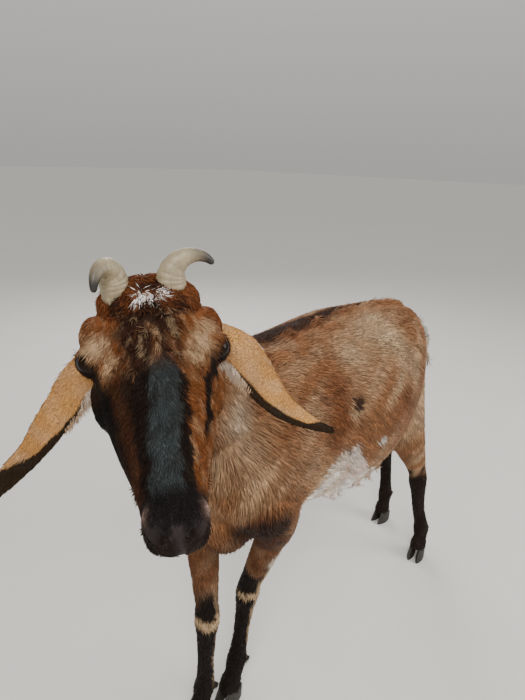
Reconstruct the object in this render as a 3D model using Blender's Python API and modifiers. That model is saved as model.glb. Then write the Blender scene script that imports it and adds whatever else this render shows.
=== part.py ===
"""A live nanny goat, standing on small flats, with her head turned to her left.

Metres, +Z up. The goat faces -Y and her left side is +X. Her flesh is lofted masses
grown together by a voxel remesh, then parted into head, neck, torso and legs by thin
cuts. Ears, horns, eyes, tail, udder and claws are solids of their own. Locks of hair on
the poll, along the back, under the belly and on the tail are fused to their nodes.
"""
import bpy
import bmesh
import math
import random
from mathutils import Matrix, Vector
from mathutils.bvhtree import BVHTree

# Driving dimensions
GAP = 0.0003            # space left between neighbouring nodes
SOLE = 0.0              # height of the eight claw soles
SEED = 11               # for the locks' small differences

FORE_CUT = 0.392        # height of the cut through the forearms
HIND_CUT = 0.384        # height of the cut through the gaskins
NECK_CUT = ((0.008, -0.305, 0.69), (0.10, -0.66, 0.74))     # point, direction
NAPE_CUT = ((0.070, -0.468, 0.850), (0.45, -0.62, 0.64))

HEAD_AT = (0.137, -0.526, 0.853)    # midway between the eyes
HEAD_TURN = math.radians(57.5)      # to the goat's left
HEAD_DROP = math.radians(27.0)      # nose below the level
HEAD_LEAN = math.radians(4.2)       # left side up

EYE_AT = (0.0590, 0.006, 0.006)    # left eye's centre in the head's frame
EYE_RADIUS = 0.0150
EYE_LOOK = (0.71, -0.61, 0.35)
LID = 0.0022
HORN_AT = (0.0265, 0.050, 0.048)
HORN_BEND = (0.0232, 0.0175)        # radius of the left and right horn's curl
HORN_SWEEP = (142.0, 174.0)         # degrees of curl
HORN_RISE = (0.012, 0.015)          # straight part before it
HORN_OUT = ((0.98, 0.06, 0.18), (-0.45, -0.75, 0.35))
HORN_SHIFT = -0.0035                # both stand a little to her right
HORN_BASE = 0.0136
HORN_TIP = 0.0030

CLAW_LENGTH = 0.058
CLAW_HEIGHT = 0.036
CLAW_WIDTH = 0.0205
DEWCLAW = (0.0058, 0.0070, 0.0100)  # half sizes of the two small claws behind a fetlock
DEWCLAW_APART = 0.0235

# Body stations: x, y, z, half width, height above, depth below
TRUNK = (
    (0.020, -0.372, 0.560, 0.035, 0.045, 0.040),
    (0.016, -0.350, 0.565, 0.070, 0.085, 0.085),
    (0.010, -0.300, 0.580, 0.098, 0.130, 0.136),
    (0.002, -0.225, 0.590, 0.112, 0.172, 0.170),
    (-0.008, -0.140, 0.590, 0.128, 0.174, 0.172),
    (-0.018, -0.050, 0.580, 0.148, 0.182, 0.182),
    (-0.022, 0.035, 0.574, 0.160, 0.188, 0.187),
    (-0.020, 0.105, 0.576, 0.155, 0.188, 0.180),
    (-0.014, 0.170, 0.590, 0.138, 0.176, 0.156),
    (-0.006, 0.230, 0.606, 0.114, 0.158, 0.136),
    (-0.002, 0.285, 0.618, 0.084, 0.134, 0.108),
    (0.000, 0.328, 0.626, 0.060, 0.098, 0.082),
    (0.004, 0.348, 0.630, 0.036, 0.052, 0.045),
)
NECK = (
    (0.000, -0.190, 0.615, 0.088, 0.140, 0.140),
    (0.004, -0.265, 0.660, 0.078, 0.112, 0.125),
    (0.013, -0.332, 0.712, 0.064, 0.086, 0.100),
    (0.029, -0.392, 0.763, 0.056, 0.068, 0.080),
    (0.050, -0.440, 0.812, 0.052, 0.058, 0.066),
    (0.073, -0.476, 0.855, 0.050, 0.052, 0.056),
    (0.104, -0.502, 0.868, 0.046, 0.046, 0.050),
)
# Leg stations: x, y, z, half width, half depth in front, behind
FORE_LEFT = (
    (0.080, -0.262, 0.600, 0.038, 0.062, 0.062),
    (0.082, -0.272, 0.540, 0.040, 0.062, 0.062),
    (0.074, -0.240, 0.480, 0.037, 0.052, 0.056),
    (0.058, -0.218, 0.428, 0.032, 0.040, 0.048),
    (0.042, -0.217, 0.388, 0.028, 0.032, 0.036),
    (0.024, -0.222, 0.330, 0.0245, 0.026, 0.028),
    (0.009, -0.228, 0.282, 0.0215, 0.023, 0.024),
    (0.003, -0.230, 0.250, 0.0245, 0.025, 0.025),
    (0.001, -0.234, 0.214, 0.0190, 0.019, 0.021),
    (0.000, -0.241, 0.160, 0.0160, 0.016, 0.018),
    (-0.001, -0.247, 0.115, 0.0170, 0.017, 0.020),
    (-0.001, -0.252, 0.088, 0.0205, 0.020, 0.025),
    (0.000, -0.262, 0.062, 0.0185, 0.018, 0.019),
    (0.000, -0.270, 0.042, 0.0220, 0.022, 0.024),
    (0.000, -0.275, 0.026, 0.0225, 0.024, 0.027),
)
FORE_RIGHT = (
    (-0.074, -0.280, 0.600, 0.038, 0.062, 0.062),
    (-0.078, -0.298, 0.540, 0.040, 0.060, 0.062),
    (-0.072, -0.298, 0.480, 0.037, 0.052, 0.056),
    (-0.058, -0.298, 0.426, 0.032, 0.040, 0.048),
    (-0.043, -0.304, 0.385, 0.028, 0.032, 0.036),
    (-0.027, -0.313, 0.325, 0.0245, 0.026, 0.028),
    (-0.014, -0.322, 0.280, 0.0215, 0.023, 0.024),
    (-0.009, -0.326, 0.248, 0.0245, 0.025, 0.025),
    (-0.008, -0.328, 0.213, 0.0190, 0.019, 0.021),
    (-0.007, -0.331, 0.160, 0.0160, 0.016, 0.018),
    (-0.006, -0.333, 0.115, 0.0170, 0.017, 0.020),
    (-0.006, -0.336, 0.087, 0.0205, 0.020, 0.025),
    (-0.006, -0.345, 0.062, 0.0185, 0.018, 0.019),
    (-0.006, -0.353, 0.042, 0.0220, 0.022, 0.024),
    (-0.006, -0.358, 0.026, 0.0225, 0.024, 0.027),
)
HIND_LEFT = (
    (0.042, 0.240, 0.640, 0.044, 0.070, 0.070),
    (0.053, 0.232, 0.560, 0.045, 0.078, 0.070),
    (0.074, 0.230, 0.485, 0.039, 0.062, 0.068),
    (0.080, 0.260, 0.420, 0.032, 0.045, 0.052),
    (0.080, 0.305, 0.350, 0.0245, 0.033, 0.036),
    (0.079, 0.337, 0.300, 0.0200, 0.026, 0.032),
    (0.080, 0.350, 0.264, 0.0225, 0.025, 0.033),
    (0.082, 0.359, 0.222, 0.0190, 0.020, 0.024),
    (0.084, 0.373, 0.165, 0.0165, 0.017, 0.020),
    (0.090, 0.387, 0.118, 0.0175, 0.018, 0.021),
    (0.093, 0.394, 0.090, 0.0210, 0.021, 0.026),
    (0.095, 0.392, 0.063, 0.0185, 0.018, 0.019),
    (0.096, 0.386, 0.042, 0.0220, 0.022, 0.024),
    (0.096, 0.382, 0.026, 0.0225, 0.024, 0.027),
)
HIND_RIGHT = (
    (-0.052, 0.255, 0.640, 0.044, 0.070, 0.078),
    (-0.072, 0.255, 0.560, 0.047, 0.082, 0.082),
    (-0.088, 0.262, 0.485, 0.040, 0.064, 0.072),
    (-0.092, 0.305, 0.420, 0.032, 0.047, 0.058),
    (-0.086, 0.375, 0.350, 0.0245, 0.035, 0.038),
    (-0.077, 0.426, 0.300, 0.0200, 0.027, 0.032),
    (-0.072, 0.444, 0.264, 0.0225, 0.026, 0.033),
    (-0.069, 0.453, 0.222, 0.0190, 0.020, 0.024),
    (-0.065, 0.462, 0.165, 0.0165, 0.017, 0.020),
    (-0.063, 0.468, 0.118, 0.0175, 0.018, 0.021),
    (-0.062, 0.471, 0.090, 0.0210, 0.021, 0.026),
    (-0.061, 0.467, 0.063, 0.0185, 0.018, 0.019),
    (-0.060, 0.461, 0.042, 0.0220, 0.022, 0.024),
    (-0.060, 0.457, 0.026, 0.0225, 0.024, 0.027),
)
# Muscle masses: centre, half sizes, turn about X in degrees
MASSES = (
    ((0.082, -0.232, 0.590), (0.038, 0.078, 0.118), 16),    # shoulders
    ((-0.079, -0.262, 0.590), (0.038, 0.076, 0.116), 12),
    ((0.064, -0.298, 0.545), (0.048, 0.056, 0.062), 0),
    ((-0.052, -0.326, 0.545), (0.048, 0.053, 0.060), 0),
    ((0.010, -0.305, 0.492), (0.062, 0.060, 0.084), 0),     # brisket
    ((0.068, 0.165, 0.510), (0.034, 0.065, 0.060), -25),    # flank folds
    ((-0.084, 0.180, 0.510), (0.034, 0.065, 0.060), -25),
    ((0.058, 0.180, 0.711), (0.030, 0.044, 0.020), 0),      # hip points
    ((-0.076, 0.180, 0.711), (0.030, 0.044, 0.020), 0),
    ((0.026, 0.314, 0.650), (0.026, 0.030, 0.030), 0),      # seat bones
    ((-0.026, 0.322, 0.650), (0.026, 0.030, 0.030), 0),
    ((0.034, 0.268, 0.550), (0.030, 0.040, 0.085), 0),      # hams
    ((-0.055, 0.290, 0.550), (0.032, 0.042, 0.085), 0),
)
# Head stations in the head's frame: y, z, half width, height above, depth below
SKULL = (
    (0.094, -0.004, 0.026, 0.024, 0.020),
    (0.082, -0.010, 0.040, 0.040, 0.036),
    (0.058, -0.012, 0.050, 0.056, 0.052),
    (0.030, -0.012, 0.058, 0.062, 0.060),
    (0.002, -0.012, 0.060, 0.058, 0.062),
    (-0.028, -0.014, 0.058, 0.054, 0.056),
    (-0.058, -0.016, 0.052, 0.053, 0.048),
    (-0.090, -0.016, 0.0435, 0.050, 0.042),
    (-0.120, -0.016, 0.034, 0.045, 0.036),
    (-0.146, -0.016, 0.0275, 0.038, 0.032),
    (-0.166, -0.016, 0.0245, 0.028, 0.029),
    (-0.180, -0.016, 0.0175, 0.016, 0.021),
    (-0.186, -0.016, 0.0080, 0.006, 0.008),
)
HEAD_MASSES = (
    ((0.0515, 0.032, 0.0105), (0.0205, 0.026, 0.020), 0),   # brow ridges
    ((0.036, 0.018, -0.038), (0.021, 0.044, 0.036), 12),    # jaw muscles
    ((0.0405, -0.020, -0.020), (0.0255, 0.045, 0.022), 0),  # cheek bones
    ((0.0145, -0.166, 0.001), (0.0120, 0.018, 0.0135), 20), # nostril wings
    ((0.0135, -0.160, -0.024), (0.0140, 0.022, 0.0130), 0), # upper lips
    ((0.0000, -0.156, -0.044), (0.0170, 0.021, 0.0130), 0), # chin
    ((0.0000, 0.050, 0.034), (0.052, 0.034, 0.029), 0),     # poll
)
# Ear centre line in the head's frame (left ear): x, y, z, width, curl in degrees
EAR_LEFT = (
    (0.044, 0.042, -0.004, 0.034, 190),
    (0.066, 0.034, -0.014, 0.036, 170),
    (0.090, 0.028, -0.029, 0.041, 140),
    (0.105, 0.021, -0.049, 0.044, 118),
    (0.121, 0.008, -0.073, 0.041, 100),
    (0.139, -0.005, -0.096, 0.032, 90),
    (0.161, -0.014, -0.115, 0.023, 80),
    (0.183, -0.020, -0.129, 0.014, 70),
    (0.204, -0.024, -0.139, 0.007, 50),
)
EAR_RIGHT = (
    (-0.044, 0.044, -0.020, 0.034, 190),
    (-0.066, 0.040, -0.036, 0.036, 170),
    (-0.085, 0.028, -0.049, 0.036, 140),
    (-0.099, 0.011, -0.064, 0.035, 118),
    (-0.117, -0.006, -0.079, 0.033, 100),
    (-0.136, -0.022, -0.093, 0.027, 90),
    (-0.158, -0.035, -0.105, 0.023, 80),
    (-0.176, -0.048, -0.116, 0.014, 70),
    (-0.192, -0.058, -0.124, 0.007, 50),
)
EAR_WALL = 0.0040
TAIL = (
    (0.004, 0.302, 0.688, 0.022, 0.015, 0.015),
    (0.010, 0.330, 0.692, 0.021, 0.013, 0.013),
    (0.016, 0.360, 0.674, 0.021, 0.011, 0.011),
    (0.021, 0.378, 0.642, 0.020, 0.010, 0.010),
    (0.022, 0.384, 0.610, 0.016, 0.008, 0.008),
    (0.022, 0.385, 0.588, 0.009, 0.005, 0.005),
)
BODY_VOXEL = 0.0034
HEAD_VOXEL = 0.0021
EAR_VOXEL = 0.0013
BODY_TRIANGLES = 3950
HEAD_TRIANGLES = 4250
EAR_TRIANGLES = 520
UDDER_TRIANGLES = 300

# Locks: how many, length, width, thickness, height of the tip over the skin
CREST = (30, 0.050, 0.0180, 0.0044, 0.0075)
FRINGE = (28, 0.050, 0.0200, 0.0040, 0.0105)
POLL = (26, 0.027, 0.0075, 0.0028, 0.0045)
BRUSH = (10, 0.055, 0.0110, 0.0040, 0.0)
LOCK_SINK = 0.0045      # depth of a lock's root below the skin
FRINGE_SPAN = (-0.115, 0.125)
FRINGE_MIDDLE = -0.020
FRINGE_SIDE = 0.118     # from the middle to the row of locks low on either flank

COLOURS = {
    "coat": ("8f6a4a", 0.85, 0.0), "face": ("5a3a22", 0.8, 0.0), "leg": ("1c1613", 0.8, 0.0),
    "horn": ("a39a8a", 0.5, 0.0), "ear": ("cfa679", 0.8, 0.0), "eye": ("2a1a0c", 0.08, 0.0),
    "claw": ("2b2622", 0.5, 0.0), "tail": ("d9d0c8", 0.85, 0.0), "udder": ("c9a596", 0.7, 0.0),
}


def clear_scene():
    for thing in list(bpy.data.objects):
        bpy.data.objects.remove(thing, do_unlink=True)


def collection(name):
    group = bpy.data.collections.new(name)
    bpy.context.scene.collection.children.link(group)
    return group


def linear(part):
    value = int(part, 16) / 255.0
    return value / 12.92 if value <= 0.04045 else ((value + 0.055) / 1.055) ** 2.4


def material(name, kind):
    code, rough, metal = COLOURS[kind]
    made = bpy.data.materials.new(name)
    made.use_nodes = True
    shader = made.node_tree.nodes["Principled BSDF"]
    colour = [linear(code[i:i + 2]) for i in (0, 2, 4)] + [1.0]
    shader.inputs["Base Color"].default_value = colour
    shader.inputs["Roughness"].default_value = rough
    shader.inputs["Metallic"].default_value = metal
    made.diffuse_color = colour
    return made


def object_from(name, mesh, group):
    made = bpy.data.objects.new(name, mesh)
    group.objects.link(made)
    return made


def applied(thing):
    """Give the object its own evaluated mesh and drop its modifiers."""
    graph = bpy.context.evaluated_depsgraph_get()
    mesh = bpy.data.meshes.new_from_object(thing.evaluated_get(graph))
    old = thing.data
    thing.modifiers.clear()
    thing.data = mesh
    if old.users == 0:
        bpy.data.meshes.remove(old)
    return thing


def between(rows, steps):
    """Catmull-Rom curve through the rows, with all their columns carried along."""
    result = []
    last = len(rows) - 1
    for i in range(last):
        a, b, c, d = rows[max(i - 1, 0)], rows[i], rows[i + 1], rows[min(i + 2, last)]
        for k in range(steps):
            t = k / steps
            result.append([0.5 * ((2 * q) + (r - p) * t + (2 * p - 5 * q + 4 * r - s) * t * t
                                  + (3 * q - p - 3 * r + s) * t ** 3)
                           for p, q, r, s in zip(a, b, c, d)])
    result.append(list(rows[last]))
    return result


def loft(name, rings, group):
    """Closed skin over rings of equal point counts, with a fan at either end."""
    shape = bmesh.new()
    loops = [[shape.verts.new(p) for p in ring] for ring in rings]
    count = len(loops[0])
    for lower, upper in zip(loops, loops[1:]):
        for i in range(count):
            j = (i + 1) % count
            shape.faces.new((lower[i], lower[j], upper[j], upper[i]))
    for ring, flip in ((loops[0], True), (loops[-1], False)):
        middle = sum((v.co for v in ring), Vector()) / count
        tip = shape.verts.new(middle)
        for i in range(count):
            j = (i + 1) % count
            shape.faces.new((tip, ring[j], ring[i]) if flip else (tip, ring[i], ring[j]))
    bmesh.ops.recalc_face_normals(shape, faces=shape.faces)
    mesh = bpy.data.meshes.new(name)
    shape.to_mesh(mesh)
    shape.free()
    return object_from(name, mesh, group)


def tube(name, rows, group, axis=(1, 0, 0), steps=6, points=26, squareness=1.0):
    """Loft along a path. Rows hold x, y, z, half width, and the two other half sizes.

    The width lies along the given axis, made square to the path. The third half size
    lies on the side of axis x path, the fourth on the other side.
    """
    path = between(rows, steps)
    places = [Vector(row[:3]) for row in path]
    rings = []
    for i, row in enumerate(path):
        ahead = places[min(i + 1, len(places) - 1)] - places[max(i - 1, 0)]
        ahead.normalize()
        across = Vector(axis) - ahead * ahead.dot(Vector(axis))
        across.normalize()
        other = across.cross(ahead)
        ring = []
        for k in range(points):
            angle = 2 * math.pi * k / points
            c, s = math.cos(angle), math.sin(angle)
            c = math.copysign(abs(c) ** squareness, c)
            s = math.copysign(abs(s) ** squareness, s)
            reach = row[4] if s > 0 else row[5]
            ring.append(places[i] + across * (row[3] * c) + other * (reach * s))
        rings.append(ring)
    return loft(name, rings, group)


def ball(name, centre, half, group, turn=0.0, frame=None, detail=24):
    """Ellipsoid from a sphere primitive."""
    shape = bmesh.new()
    bmesh.ops.create_uvsphere(shape, u_segments=detail, v_segments=detail // 2, radius=1.0)
    place = (Matrix.Translation(centre) @ Matrix.Rotation(math.radians(turn), 4, "X")
             @ Matrix.Diagonal((*half, 1.0)))
    shape.transform(frame @ place if frame else place)
    mesh = bpy.data.meshes.new(name)
    shape.to_mesh(mesh)
    shape.free()
    return object_from(name, mesh, group)


def joined(name, things, group):
    """One object holding the meshes of several, still as loose bodies."""
    shape = bmesh.new()
    for thing in things:
        shape.from_mesh(thing.data)
    mesh = bpy.data.meshes.new(name)
    shape.to_mesh(mesh)
    shape.free()
    for thing in things:
        bpy.data.objects.remove(thing, do_unlink=True)
    return object_from(name, mesh, group)


def remeshed(thing, voxel, smooth, weight=None):
    """Grow the bodies of an object together, then relax the surface."""
    step = thing.modifiers.new("Grow", "REMESH")
    step.mode = "VOXEL"
    step.voxel_size = voxel
    applied(thing)
    if smooth:
        step = thing.modifiers.new("Relax", "SMOOTH")
        step.factor = 0.5
        step.iterations = smooth[0]
        if weight and smooth[1]:
            marks = thing.vertex_groups.new(name="Relaxed")
            for vertex in thing.data.vertices:
                marks.add([vertex.index], weight(vertex.co), "REPLACE")
            step = thing.modifiers.new("Blend", "SMOOTH")
            step.factor = 0.5
            step.iterations = smooth[1]
            step.vertex_group = "Relaxed"
        applied(thing)
    return thing


def thinned(thing, triangles):
    """Collapse edges until the mesh has about the given number of triangles."""
    count = sum(len(face.vertices) - 2 for face in thing.data.polygons)
    thing.modifiers.new("Split", "TRIANGULATE")
    step = thing.modifiers.new("Thin", "DECIMATE")
    step.ratio = min(1.0, triangles / count)
    step.use_collapse_triangulate = True
    return applied(thing)


def cut(thing, tool, action="DIFFERENCE"):
    step = thing.modifiers.new("Cut", "BOOLEAN")
    step.operation = action
    step.solver = "EXACT"
    step.object = tool
    applied(thing)
    return thing


def removed(*things):
    for thing in things:
        bpy.data.objects.remove(thing, do_unlink=True)


def swollen(thing, name, distance, group):
    """Copy with its surface moved out by a distance."""
    made = object_from(name, thing.data.copy(), group)
    step = made.modifiers.new("Swell", "DISPLACE")
    step.strength = distance
    step.mid_level = 0.0
    return applied(made)


def slab(name, point, direction, size, thick, group):
    """Thin square plate, centred on a point, facing a direction."""
    shape = bmesh.new()
    bmesh.ops.create_cube(shape, size=1.0)
    turn = Vector(direction).to_track_quat("Z", "Y").to_matrix().to_4x4()
    shape.transform(Matrix.Translation(point) @ turn @ Matrix.Diagonal((*size, thick, 1.0)))
    mesh = bpy.data.meshes.new(name)
    shape.to_mesh(mesh)
    shape.free()
    return object_from(name, mesh, group)


def loose_parts(thing, group):
    """Split an object into its bodies, largest first."""
    shape = bmesh.new()
    shape.from_mesh(thing.data)
    shape.verts.ensure_lookup_table()
    body = [-1] * len(shape.verts)
    count = 0
    for seed in shape.verts:
        if body[seed.index] >= 0:
            continue
        body[seed.index] = count
        front = [seed]
        while front:
            for link in front.pop().link_edges:
                for vertex in link.verts:
                    if body[vertex.index] < 0:
                        body[vertex.index] = count
                        front.append(vertex)
        count += 1
    made = []
    for number in sorted(range(count), key=body.count, reverse=True)[:12]:
        piece = shape.copy()
        others = [v for v in piece.verts if body[v.index] != number]
        bmesh.ops.delete(piece, geom=others, context="VERTS")
        mesh = bpy.data.meshes.new(f"{thing.name}.{number}")
        piece.to_mesh(mesh)
        piece.free()
        made.append(object_from(mesh.name, mesh, group))
    shape.free()
    removed(thing)
    return made


def keep_largest(thing, group):
    name = thing.name
    thing.name = name + "_raw"
    parts = loose_parts(thing, group)
    removed(*parts[1:])
    parts[0].name = name
    return parts[0]


def middle_of(thing):
    points = [v.co for v in thing.data.vertices]
    return sum(points, Vector()) / len(points)


def finished(thing, name, kind, group):
    """Name a node, give it its material, and put it in the goat's collection."""
    thing.name = name
    thing.data.name = name
    thing.data.materials.clear()
    thing.data.materials.append(material(name, kind))
    thing.data.shade_smooth()
    for holder in list(thing.users_collection):
        holder.objects.unlink(thing)
    group.objects.link(thing)
    return thing


def head_frame():
    return (Matrix.Translation(HEAD_AT) @ Matrix.Rotation(HEAD_TURN, 4, "Z")
            @ Matrix.Rotation(HEAD_DROP, 4, "X") @ Matrix.Rotation(-HEAD_LEAN, 4, "Y"))


def skin_tree(thing):
    """Search tree over the faces of an object."""
    shape = bmesh.new()
    shape.from_mesh(thing.data)
    tree = BVHTree.FromBMesh(shape)
    shape.free()
    return tree


def lock(name, tree, start, lie, size, bend, cling, group):
    """Flat lock that tapers to its tip, rooted under the skin and laid along the lie.

    A clinging lock's centre line walks over the skin and climbs from its root to the
    given rise. A hanging one leaves the skin and curves from the skin's slope to the lie.
    """
    length, width, thick, rise = size
    place, normal = tree.find_nearest(start)[:2]
    lie = Vector(lie).normalized()
    along = (lie - normal * normal.dot(lie) * (1.0 if cling else 0.45)).normalized()
    step = length / 4
    spot = place - normal * LOCK_SINK
    rings = []
    for k in range(5):
        t = k / 4
        if cling:
            spot = place + normal * (-LOCK_SINK + (LOCK_SINK + rise) * min(1.0, 1.25 * t) ** 0.8)
        side = normal.cross(along).normalized()
        over = along.cross(side)
        half = 0.5 * width * (0.70, 1.0, 0.92, 0.60, 0.09)[k]
        deep = 0.5 * thick * (1.0, 1.0, 0.85, 0.60, 0.20)[k]
        rings.append([spot + side * half, spot + over * deep, spot - side * half, spot - over * deep])
        along = (along + side * bend / 4).normalized()
        if cling:
            place, normal = tree.find_nearest(place + along * step)[:2]
            along = (along - normal * normal.dot(along)).normalized()
        else:
            along = (along * (1 - 0.34 * t) + lie * (0.30 + 0.34 * t)).normalized()
            spot = spot + along * step
    return loft(name, rings, group)


def fused(thing, locks, group):
    """Union of a node and its locks, as one closed body."""
    bunch = bpy.data.collections.new("Locks")
    bpy.context.scene.collection.children.link(bunch)
    for piece in locks:
        bunch.objects.link(piece)
    step = thing.modifiers.new("Fuse", "BOOLEAN")
    step.operation = "UNION"
    step.solver = "EXACT"
    step.operand_type = "COLLECTION"
    step.collection = bunch
    applied(thing)
    removed(*locks)
    bpy.data.collections.remove(bunch)
    return keep_largest(thing, group)


def near_cut(place, lie, reach):
    """Whether a lock from this place would lie across one of the neck's cuts."""
    for point, direction in (NECK_CUT, NAPE_CUT):
        normal = Vector(direction).normalized()
        a = (place - Vector(point)).dot(normal)
        b = (place + lie * reach - Vector(point)).dot(normal)
        if min(a, b) < 0.006 and max(a, b) > -0.006:
            return True
    return False


def body_locks(flesh, group, dice):
    """Crest along neck and back, and the ragged fringe under the belly."""
    tree = skin_tree(flesh)
    line = between([row[:3] for row in NECK[5:0:-1] + TRUNK[3:11]], 6)
    made = []
    count, length, width, thick, rise = CREST
    for k in range(count):
        s = (0.03 + 0.90 * k / (count - 1)) * (len(line) - 2)
        a, b = Vector(line[int(s)]), Vector(line[int(s) + 1])
        lie = (b - a).normalized()
        offset = 0.009 * (-1, 0.15, 1)[k % 3] + dice.uniform(-0.002, 0.002)
        spot = a.lerp(b, s - int(s)) + lie.cross(Vector((0, 0, 1))).normalized() * offset
        hit = tree.ray_cast(spot + Vector((0, 0, 0.4)), Vector((0, 0, -1)))[0]
        if hit is None or near_cut(hit, lie, length * 1.15):
            continue
        grow = dice.uniform(0.85, 1.15)
        made.append(lock("Crest", tree, hit, lie, (length * grow, width, thick, rise * grow),
                         dice.uniform(-0.5, 0.5), True, group))
    count, length, width, thick, rise = FRINGE
    for k in range(count):
        t = k / (count - 1)
        y = FRINGE_SPAN[0] + (FRINGE_SPAN[1] - FRINGE_SPAN[0]) * t
        row = (1, -1, 1, -1, 0)[k % 5]
        x = FRINGE_MIDDLE + row * FRINGE_SIDE + dice.uniform(-0.008, 0.008)
        hit = tree.ray_cast(Vector((x, y, 0.1)), Vector((0, 0, 1)))[0]
        grow = dice.uniform(0.8, 1.15)
        lie = Vector((-0.5 * row, 0.85 - 0.25 * abs(row), -0.8))
        made.append(lock("Fringe", tree, hit, lie, (length * grow, width, thick, rise),
                         dice.uniform(-0.3, 0.3), True, group))
    return made


def poll_locks(head, frame, group, dice):
    """Tufts between and in front of the horns, lying outwards and down the forehead."""
    tree = skin_tree(head)
    made = []
    count, length, width, thick, rise = POLL
    for k in range(count):
        t = (k + 0.5) / count
        x = 0.034 * math.sin(2.4 * k) * (0.35 + 0.65 * t)
        y = 0.058 - 0.080 * t
        grow = dice.uniform(0.85, 1.15)
        lie = Vector((9 * x + dice.uniform(-0.25, 0.25), -1.0, 0)).normalized()
        clear = HORN_BASE * 1.15 + 0.0035 + width / 2
        path = [Vector((x, y, 0)) + lie * length * grow * q / 4 for q in range(5)]
        posts = [Vector((side * HORN_AT[0] + HORN_SHIFT, HORN_AT[1], 0)) for side in (1, -1)]
        if any((point - post).length < clear for point in path for post in posts):
            continue
        hit = tree.ray_cast(frame @ Vector((x, y, 0.2)), (frame.to_3x3() @ Vector((0, 0, -1))))[0]
        made.append(lock("Poll", tree, hit, frame.to_3x3() @ lie,
                         (length * grow, width, thick, rise * grow), dice.uniform(-0.7, 0.7), True, group))
    return made


def tail_locks(tail, group, dice):
    """Long hair that hangs from the sides and back of the tail."""
    tree = skin_tree(tail)
    line = [Vector(row[:3]) for row in between([row[:3] for row in TAIL], 4)]
    made = []
    count, length, width, thick, rise = BRUSH
    for k in range(count):
        spot = line[9 + int((len(line) - 11) * k / (count - 1))]
        angle = (k % 3 - 1) * 1.15 + dice.uniform(-0.25, 0.25)
        out = Vector((math.sin(angle), math.cos(angle), 0))
        lie = Vector((0.22 * math.sin(angle), 0.16 * math.cos(angle), -1))
        made.append(lock("Brush", tree, spot + out * 0.03, lie,
                         (length * dice.uniform(0.8, 1.15), width, thick, rise), dice.uniform(-0.3, 0.3),
                         False, group))
    return made


def body_masses(group):
    """Trunk, neck, legs and muscles as overlapping closed bodies."""
    things = [tube("Trunk", TRUNK, group, squareness=0.92, points=36),
              tube("Neck", NECK, group, axis=(1, 0.25, 0))]
    for name, rows in (("ForeL", FORE_LEFT), ("ForeR", FORE_RIGHT),
                       ("HindL", HIND_LEFT), ("HindR", HIND_RIGHT)):
        things.append(tube(name, rows, group))
        x, y, z, _, _, behind = rows[-4]
        for side in (1, -1):
            place = (x + side * DEWCLAW_APART / 2, y + behind - 0.0035, z - 0.008)
            things.append(ball(f"{name}Dewclaw", place, DEWCLAW, group, -20, detail=12))
    for number, (centre, half, turn) in enumerate(MASSES):
        things.append(ball(f"Mass{number}", centre, half, group, turn))
    return things


def skull_masses(group, frame):
    """Head of overlapping closed bodies, mirrored where they come in pairs."""
    rows = [(0.0, y, z, w, up, down) for y, z, w, up, down in SKULL]
    skull = tube("Skull", rows, group, squareness=0.9, points=32)
    skull.data.transform(frame)
    things = [skull]
    for number, (centre, half, turn) in enumerate(HEAD_MASSES):
        for side in ((1, -1) if centre[0] else (1,)):
            place = (side * centre[0], centre[1], centre[2])
            things.append(ball(f"HeadMass{number}", place, half, group, turn, frame))
    return things


def eye_frame(frame, side):
    """Frame at an eye, its Z looking out and its X towards the nose."""
    out = Vector((side * EYE_LOOK[0], EYE_LOOK[1], EYE_LOOK[2])).normalized()
    nose = Vector((0, -1, -0.12))
    nose = (nose - out * out.dot(nose)).normalized()
    up = out.cross(nose) * side
    turn = Matrix((nose, up, out)).transposed().to_4x4()
    if turn.determinant() < 0:
        turn = Matrix((nose, -up, out)).transposed().to_4x4()
    centre = Vector((side * EYE_AT[0], EYE_AT[1], EYE_AT[2]))
    return frame @ Matrix.Translation(centre) @ turn


def almond(name, group, frame, length, height, near, far):
    """Cutter for the opening between the lids: a lens outline pushed along Z."""
    rings = []
    for depth, grow in ((near, 0.86), (0.5 * (near + far), 1.0), (far, 1.5)):
        ring = []
        for k in range(28):
            angle = 2 * math.pi * k / 28
            x = 0.5 * length * math.cos(angle)
            y = 0.5 * height * math.sin(angle) * (0.62 + 0.38 * abs(math.sin(angle)))
            ring.append(frame @ Vector((grow * x, grow * y, depth)))
        rings.append(ring)
    return loft(name, rings, group)


def nostril(name, group, frame, side):
    """Comma shaped cutter that runs up and outwards from the nose tip."""
    rows = []
    for k in range(7):
        t = k / 6
        rows.append((side * (0.0085 + 0.0150 * t), -0.1830 + 0.0170 * t * t,
                     -0.0075 + 0.0160 * t ** 0.7, 0.0020 + 0.0026 * math.sin(math.pi * (0.25 + 0.65 * t)),
                     0.0090, 0.0090))
    thing = tube(name, rows, group, axis=(0, 0, 1), steps=3, points=14)
    thing.data.transform(frame)
    return thing


def mouth(name, group, frame):
    """Thin curved wedge that cuts the line between the lips."""
    rings = []
    for k in range(21):
        t = -1 + 2 * k / 20
        back = t * t
        outer = Vector((0.045 * t, -0.200 + 0.083 * back, -0.0345 + 0.0080 * back))
        inner = Vector((0.016 * t, -0.160 + 0.040 * back, -0.0340 + 0.0080 * back))
        wide, thin = Vector((0, 0, 0.0038)), Vector((0, 0, 0.0016))
        rings.append([frame @ (outer + wide), frame @ (inner + thin),
                      frame @ (inner - thin), frame @ (outer - wide)])
    return loft(name, rings, group)


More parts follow.
